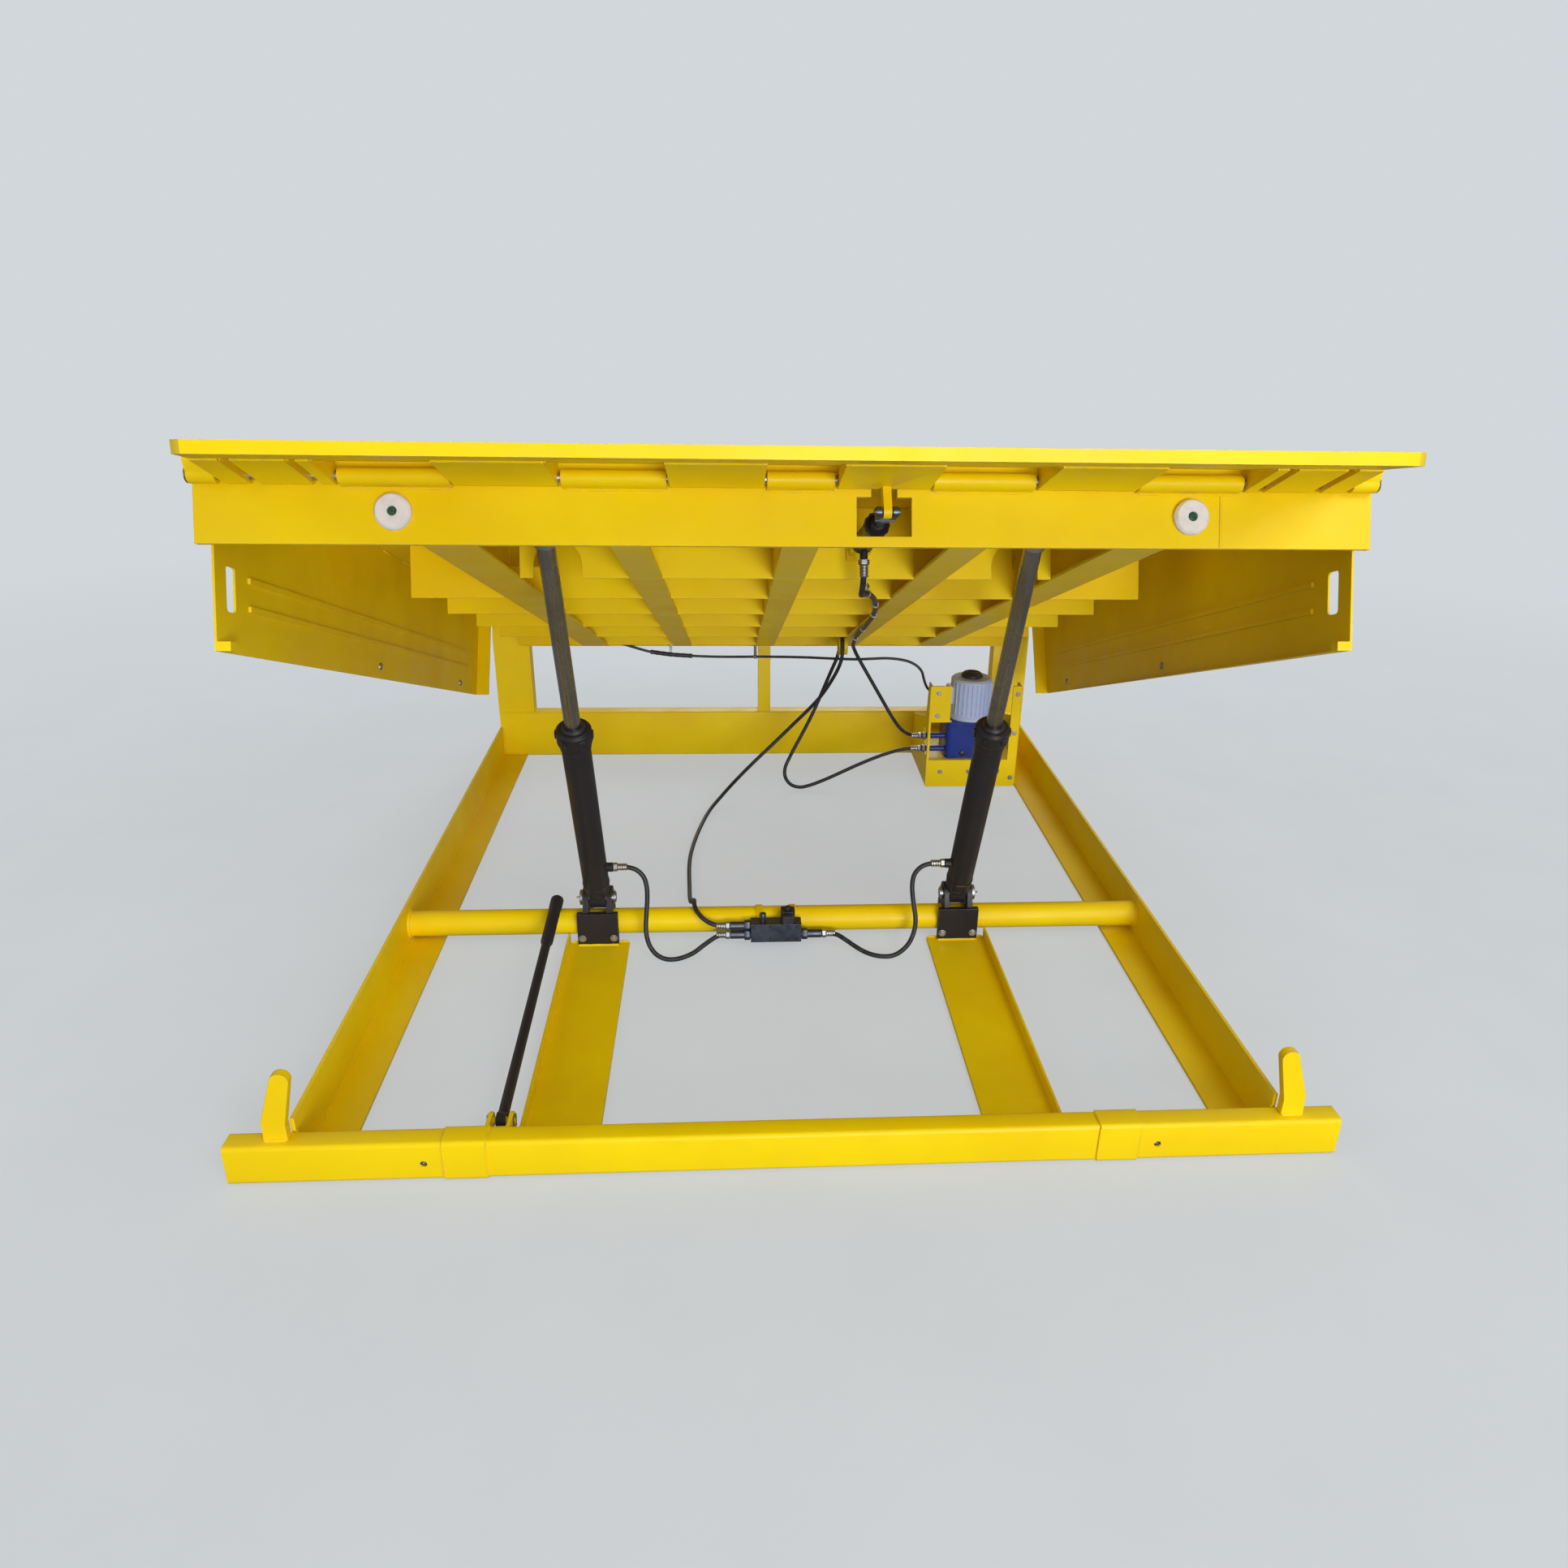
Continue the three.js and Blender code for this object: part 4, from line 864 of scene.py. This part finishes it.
def tank_details():
    """Welded seams, filler, drain plug, level gauge and the port nuts."""
    seam = Shape()
    for z in (108, 222):
        edge = rounded_outline(2 * TANK_HALF[0] + 1, 2 * TANK_HALF[1] + 1, 16)
        outline = [on_ground(TANK[0] + x, TANK[1] + y, z) for x, y in edge]
        seam.tube([*outline, outline[0]], 2.2 * MM, 8)
    seam.piece("tank_seams", "base", TANK_BLUE, "tank_blue")
    parts = Shape()
    filler = facing(GROUND, (TANK[0] + 76, TANK[1] - 62, TANK_TOP), UP)
    parts.turned(filler, [(7, 0), (7, 4), (6, 5), (6, 8), (9, 9), (10, 11), (10, 17), (8, 19),
                          (0.01, 20)], 24)
    drain = facing(GROUND, (TANK[0] - 30, TANK_FRONT, 122), FORWARD)
    parts.turned(drain, [(11, 0), (11, 6), (9, 7), (0.01, 7)], 6)
    gauge = facing(GROUND, (TANK[0] + 40, TANK_FRONT, 168), FORWARD)
    parts.prism(gauge, rounded_outline(16, 62, 7), 7)
    parts.piece("tank_fittings", "base", CAP_PLASTIC, "cap_plastic", 0.5)
    nuts = Shape()
    for z in (128, 175):
        nut = facing(GROUND, (552, 1945, z), LEFT)
        nuts.turned(nut, [(8, 0), (12.5, 0.8), (14, 2), (14, 10), (12.5, 11.4), (8, 12)], 6)
    nuts.piece("tank_port_nuts", "base", STEEL, "bright_steel", 0.3)


HOUSING_BOLTS = ((578, 264), (578, 344), (848, 36), (848, 200), (848, 340), (600, 60), (700, 60), (800, 60))


def housing_details():
    """The bolts of the folded housing, and its bent edges."""
    bolts = Shape()
    for x, z in HOUSING_BOLTS:
        bolt(bolts, facing(GROUND, (x, 1895, z), FORWARD), 7)
    for x in (600, 814):
        bolt(bolts, facing(GROUND, (x, 2219.5, 140), FORWARD), 8)
    bolts.piece("housing_bolts", "base", STEEL, "bright_steel", 0.3)
    folds = Shape()
    for x in (551.5, 862.5):
        weld(folds, on_ground(x, 1896, 10), on_ground(x, 1896, 364), 2.2)
    weld(folds, on_ground(556, 2219, 12), on_ground(556, 2219, 155), 3)
    folds.piece("housing_folds", "base", YELLOW, "yellow_paint")


# ---- lift and lip cylinders ----
LIP_LEVER = 60
LIP_LEVER_LEAN = math.radians(20)
LIP_CYLINDER_X = 143
LIP_CYLINDER_FOOT = (1800, -48)


def lift_cylinder_details(word, side):
    """Bands, gland lugs, wiper and collar, along one lift cylinder."""
    foot, head = on_ground(side * LIFT_X, *LIFT_PIN), on_deck(side * LIFT_X, *LIFT_EYE)
    place = aimed(foot, head - foot)
    barrel = Shape()
    weld_ring(barrel, place @ Matrix.Translation((0, 0, 35)), 30, 3)
    band(barrel, place, 32.5, 35, 542, 559)
    band(barrel, place, 32.5, 34.2, 60, 66)
    barrel.piece(f"barrel_bands_{word}", f"{word}_barrel", BLACK, "black_paint", 0.8)
    gland = Shape()
    for k in range(6):
        lug = place @ Matrix.Rotation(math.pi * k / 3, 4, "Z")
        gland.block(lug, (36, 42.5), (-6, 6), (572, 590))
    gland.piece(f"gland_lugs_{word}", f"{word}_barrel", BLACK, "black_paint", 0.8)
    wiper = Shape()
    wiper.ring(place, [(18.1, 599), (27, 599), (27, 602), (22, 606), (18.1, 606)], 32)
    wiper.piece(f"rod_wiper_{word}", f"{word}_barrel", CAP_PLASTIC, "cap_plastic")
    length = (head - foot).length / MM
    collar = Shape()
    band(collar, place, 17.5, 23, length - 44, length - 26)
    weld_ring(collar, place @ Matrix.Translation((0, 0, length - 25)), 19, 3)
    collar.piece(f"rod_collar_{word}", f"{word}_rod", STEEL, "bright_steel", 0.3)


def upper_pins():
    """A bolt on each end of the upper pins."""
    shape = Shape()
    for side in BOTH:
        for way in BOTH:
            end = (side * LIFT_X + way * 45.8, -LIFT_EYE[0], LIFT_EYE[1])
            bolt(shape, facing(DECK, end, (way, 0, 0)), 12)
    shape.piece("upper_pin_bolts", "deck", STEEL, "bright_steel", 0.3)


def lip_cylinder_details():
    """Bands with their grip, wiper, rod pin and lock nut of the lip cylinder."""
    lean = LIP_LEVER_LEAN + LIP_DROOP
    foot = on_deck(LIP_CYLINDER_X, *LIP_CYLINDER_FOOT)
    head = LIP @ Vector((LIP_CYLINDER_X, -LIP_LEVER * math.sin(lean), -LIP_LEVER * math.cos(lean)))
    place = aimed(foot, head - foot)
    barrel = Shape()
    band(barrel, place, 19.6, 22.5, 22, 34)
    band(barrel, place, 19.6, 22.5, 232, 249)
    for k in range(12):
        turn = place @ Matrix.Rotation(math.pi * k / 6, 4, "Z")
        barrel.block(turn, (21.5, 23.5), (-2.4, 2.4), (234, 247))
    barrel.piece("lip_barrel_bands", "lip_barrel", BLACK, "black_paint", 0.5)
    seal = Shape()
    seal.ring(place, [(8.2, 262), (12, 262), (11, 266), (8.2, 267)], 24)
    seal.piece("lip_rod_wiper", "lip_barrel", CAP_PLASTIC, "cap_plastic")
    pin = Shape()
    for way in BOTH:
        head_place = facing(GROUND, (0, 0, 0), (way, 0, 0))
        head_place.translation = head + Vector((way * 17 * MM, 0, 0))
        pin.turned(head_place, [(8.4, 0), (8.4, 2), (5.4, 2.2), (5.2, 4.6), (4.4, 5.4), (0.01, 5.4)], 20)
    length = (head - foot).length / MM
    pin.turned(place @ Matrix.Translation((0, 0, length - 43)),
               [(8.2, 0), (13, 0.8), (13.6, 2), (13.6, 5), (13, 6.2), (8.2, 7)], 6)
    pin.piece("lip_rod_pin", "lip_rod", DARK_STEEL, "bright_steel", 0.3)


# ---- deck details ----
BEAMS = ((-590, 90), (-290, 66), (0, 64), (290, 66), (590, 90))  # middle and width
RIBS = (96, 410, 745, 1080, 1415, 1750)
KNUCKLES = ((-758, -578), (-398, -224), (-57, 57), (224, 398), (578, 758))
HEADER_FACE = 2145
HEADER_BACK = 2131.5
BOTTOM = -110
GUARD_X = 973


def deck_line(shape, start, end, size=3.5):
    weld(shape, on_deck(*start), on_deck(*end), size)


def beam_web(x, width):
    """The two faces of a channel's web, which is on its outer side."""
    outer = -1 if x <= 0 else 1
    edge = x + outer * width / 2
    return edge + outer * 1.0, edge - outer * 8.0


def deck_welds():
    """The beams' seams to the header and the ribs, and the stitches under the deck plate."""
    shape = Shape()
    for x, width in BEAMS:
        faces = beam_web(x, width)
        for face in faces:
            deck_line(shape, (face, HEADER_BACK, BOTTOM + 6), (face, HEADER_BACK, 24))
            for s in RIBS:
                if s < RIBS[-1] or abs(x) < 500:
                    deck_line(shape, (face, s + 4, BOTTOM + 5), (face, s + 4, 24), 2.8)
        flange = width / 2 - 6
        deck_line(shape, (x - flange, HEADER_BACK, BOTTOM + 8), (x + flange, HEADER_BACK, BOTTOM + 8), 3)
    for s in RIBS:
        reach = 850 if s < RIBS[-1] else 543
        stitches(shape, on_deck(-reach, s + 4, 32), on_deck(reach, s + 4, 32), 3)
        stitches(shape, on_deck(-reach, s - 4, 32), on_deck(reach, s - 4, 32), 3)
    for side in BOTH:
        stitches(shape, on_deck(side * GUARD_X, 220, 31), on_deck(side * GUARD_X, 2120, 31), 3.2)
        deck_line(shape, (side * GUARD_X, 2131, BOTTOM + 4), (side * GUARD_X, 2131, 28))
        stitches(shape, on_deck(side * 540, 60, 31), on_deck(side * 60, 60, 31), 3)
    shape.piece("deck_welds", "deck", YELLOW, "yellow_paint")


def header_welds():
    """The seams round the knuckles, one down the header and one along the deck plate's edge."""
    shape = Shape()
    for a, b in KNUCKLES:
        deck_line(shape, (a + 4, HEADER_FACE + 1, -17.5), (b - 4, HEADER_FACE + 1, -17.5), 3.2)
        for x in (a, b):
            deck_line(shape, (x, HEADER_FACE + 1.5, -14), (x, HEADER_FACE + 1.5, 10), 2.6)
    deck_line(shape, (730, HEADER_FACE + 0.3, BOTTOM + 2), (730, HEADER_FACE + 0.3, -18), 2.6)
    deck_line(shape, (-996, HEADER_FACE - 1, 33), (996, HEADER_FACE - 1, 33), 2.6)
    shape.piece("header_welds", "deck", YELLOW, "yellow_paint")


LIP_LUGS = ((62, 219, 150), (403, 573, 150), (763, 783, 120), (799, 881, 120), (899, 940, 120))
LIP_UNDERSIDE = 23


def lip_welds():
    """The seams of the lip's lugs."""
    shape = Shape()
    for a, b, reach in LIP_LUGS:
        for side in BOTH:
            for x in (a - 0.5, b + 0.5):
                start, end = (side * x, -26, LIP_UNDERSIDE - 1), (side * x, 8 - reach, LIP_UNDERSIDE - 1)
                weld(shape, LIP @ Vector(start), LIP @ Vector(end), 2.6)
            if b < 900:
                low = (side * (a + 4), -reach, LIP_UNDERSIDE - 1)
                high = (side * (b - 4), -reach, LIP_UNDERSIDE - 1)
                weld(shape, LIP @ Vector(low), LIP @ Vector(high), 2.6)
    shape.piece("lip_welds", "lip", YELLOW, "yellow_paint")


def hinge_ends():
    """Washers and split pins on the lip hinge pin."""
    shape = Shape()
    for side in BOTH:
        end = facing(DECK, (side * 996.5, -LIP_AXIS[0], LIP_AXIS[1]), (side, 0, 0))
        band(shape, end, 7.6, 14, 1, 3)
        shape.turned(end, [(7.4, 3), (6, 5.5), (0.01, 5.5)], 20)
    shape.piece("lip_pin_ends", "deck", STEEL, "bright_steel", 0.2)


def buffer_bolts():
    """The bolt in the middle of each buffer."""
    shape = Shape()
    for side in BOTH:
        place = facing(DECK, (side * 676, -(HEADER_FACE + 10), -57), FORWARD)
        shape.turned(place, [(7.6, 0), (7.6, 1), (6.2, 3.2), (3.6, 3.8), (2.6, 2.4), (0.01, 2.2)], 20)
    shape.piece("buffer_bolts", "deck", GREEN_STEEL, "black_paint")


def guard_bolts():
    """Two round heads on the inner face of each toe guard."""
    shape = Shape()
    for side in BOTH:
        for s in (430, 1250):
            place = facing(DECK, (side * (GUARD_X + 0.8), -s, BOTTOM - 146), (-side, 0, 0))
            shape.turned(place, [(9, 0), (8.6, 2), (6, 4.4), (0.01, 5.4)], 20)
    shape.piece("guard_bolts", "deck", STEEL, "bright_steel")


def bracket_welds():
    """The seams of the cylinder brackets under the deck."""
    shape = Shape()
    for side in BOTH:
        for x in (-39, -23, 23, 39):
            deck_line(shape, (side * LIFT_X + x, 1872, 24), (side * LIFT_X + x, 1988, 24), 3)
    for x in (121, 165):
        deck_line(shape, (x, 1754.5, -70), (x, 1754.5, -26), 2.6)
    shape.piece("bracket_welds", "deck", YELLOW, "yellow_paint")


TREAD_PITCH = 40
DECK_TREAD_HALF = 975
LIP_TREAD_HALF = 945
LIP_TAPER = 0.375  # half width lost for each millimetre forward of LIP_TAPER_FROM
LIP_TAPER_FROM = 60


def lip_half(forward):
    """Half the width of the lip's tread at that distance from the hinge."""
    return LIP_TREAD_HALF - LIP_TAPER * (forward - LIP_TAPER_FROM)


def lozenge(shape, place):
    """One raised bar of checker plate, pointed at both ends, along the place's X."""
    verts = [(-14, 0, -0.2), (0, -4.5, -0.2), (14, 0, -0.2), (0, 4.5, -0.2), (-7, 0, 1.7), (7, 0, 1.7)]
    faces = [(0, 3, 2, 1), (0, 1, 4), (1, 5, 4), (1, 2, 5), (2, 3, 5), (3, 4, 5), (3, 0, 4)]
    shape.add(verts, faces, place)


def tread(name, body, place, reach, half_at, top):
    """Checker plate bars over a plate, from its front reach and its half width at each distance."""
    shape = Shape()
    for row in range(int((reach[1] - reach[0]) / TREAD_PITCH) + 1):
        forward = reach[0] + row * TREAD_PITCH
        columns = int(half_at(forward) / TREAD_PITCH)
        for column in range(-columns, columns + 1):
            turn = Matrix.Rotation(math.radians(45 if (row + column) % 2 else -45), 4, "Z")
            lozenge(shape, place @ Matrix.Translation((column * TREAD_PITCH, -forward, top)) @ turn)
    shape.piece(name, body, TREAD, "yellow_paint")


def treads():
    """The checker plate bars of the deck and the lip."""
    tread("deck_tread", "deck", DECK, (40, HEADER_FACE - 30), lambda forward: DECK_TREAD_HALF, 40)
    tread("lip_tread", "lip", LIP, (45, 375), lip_half, 41)


# ---- hose clips ----
def clip(shape, centre, along, up, hose_radius, tab, width=14):
    """A band round a hose at the centre, with a tab to the steel above and its screw."""
    along, up = along.normalized(), up.normalized()
    across = up.cross(along)
    turn = Matrix((across, up, along)).transposed().to_4x4()
    place = scaled(Matrix.Translation(centre) @ turn)
    inner = hose_radius + 0.2
    band(shape, place, inner, inner + 2, -width / 2, width / 2)
    shape.block(place, (-1.2, 1.2), (inner + 1, inner + tab), (-width / 2, width / 2))
    head = place @ Matrix.Translation((1.2, inner + 0.55 * tab, 0)) @ Matrix.Rotation(math.pi / 2, 4, "Y")
    shape.turned(head, [(4.4, 0), (4.4, 2.6), (3.4, 3.4), (0.01, 3.4)], 6)


def hose_clips():
    """The clips under the deck, the saddle of the supply hose and the cable's sleeve."""
    shape = Shape()
    deck_up = DECK.to_3x3() @ Vector((0, 0, 1))
    hose = [on_deck(*p) for p in LIP_HOSE_DECK]
    for i in (0, 2, 4, 5, 7):
        along = hose[i + 1] - hose[i - 1] if i else hose[1] - hose[0]
        clip(shape, hose[i], along, deck_up, 6, 16)
    cable = [on_ground(*p) for p in POWER_CABLE]
    for i in (14, 19, 23, 26):
        clip(shape, cable[i], cable[i + 1] - cable[i - 1], deck_up, 4.5, 34, 10)
    shape.piece("hose_clips", "deck", STEEL, "bright_steel", 0.2)
    saddle = Shape()
    drum = facing(GROUND, (234, 1910, 505), RIGHT)
    band(saddle, drum, 24, 29.5, 0, 30, 40)
    band(saddle, drum, 29, 33, 0, 3, 40)
    saddle.piece("hose_saddle", "deck", YELLOW, "yellow_paint", 0.5)
    sleeve = Shape()
    line = smooth_line([on_ground(*p) for p in POWER_CABLE[22:25]])
    radii = [(7.5 + 0.5 * math.sin(2.2 * k)) * MM for k in range(len(line))]
    sleeve.tube(line, radii, 16)
    sleeve.piece("cable_sleeve", "deck", CAP_PLASTIC, "cap_plastic")


def make_details():
    """Every small part that stands on the CAD nodes."""
    ground_welds()
    ground_bolts()
    pin_keepers()
    valve_details()
    motor_details()
    tank_details()
    housing_details()
    for word, side in SIDES:
        lift_cylinder_details(word, side)
    upper_pins()
    lip_cylinder_details()
    deck_welds()
    header_welds()
    lip_welds()
    hinge_ends()
    buffer_bolts()
    guard_bolts()
    bracket_welds()
    treads()
    hose_clips()


make_camera()
make_cords()
make_stage()
make_light()
dress_cad_nodes()
make_details()
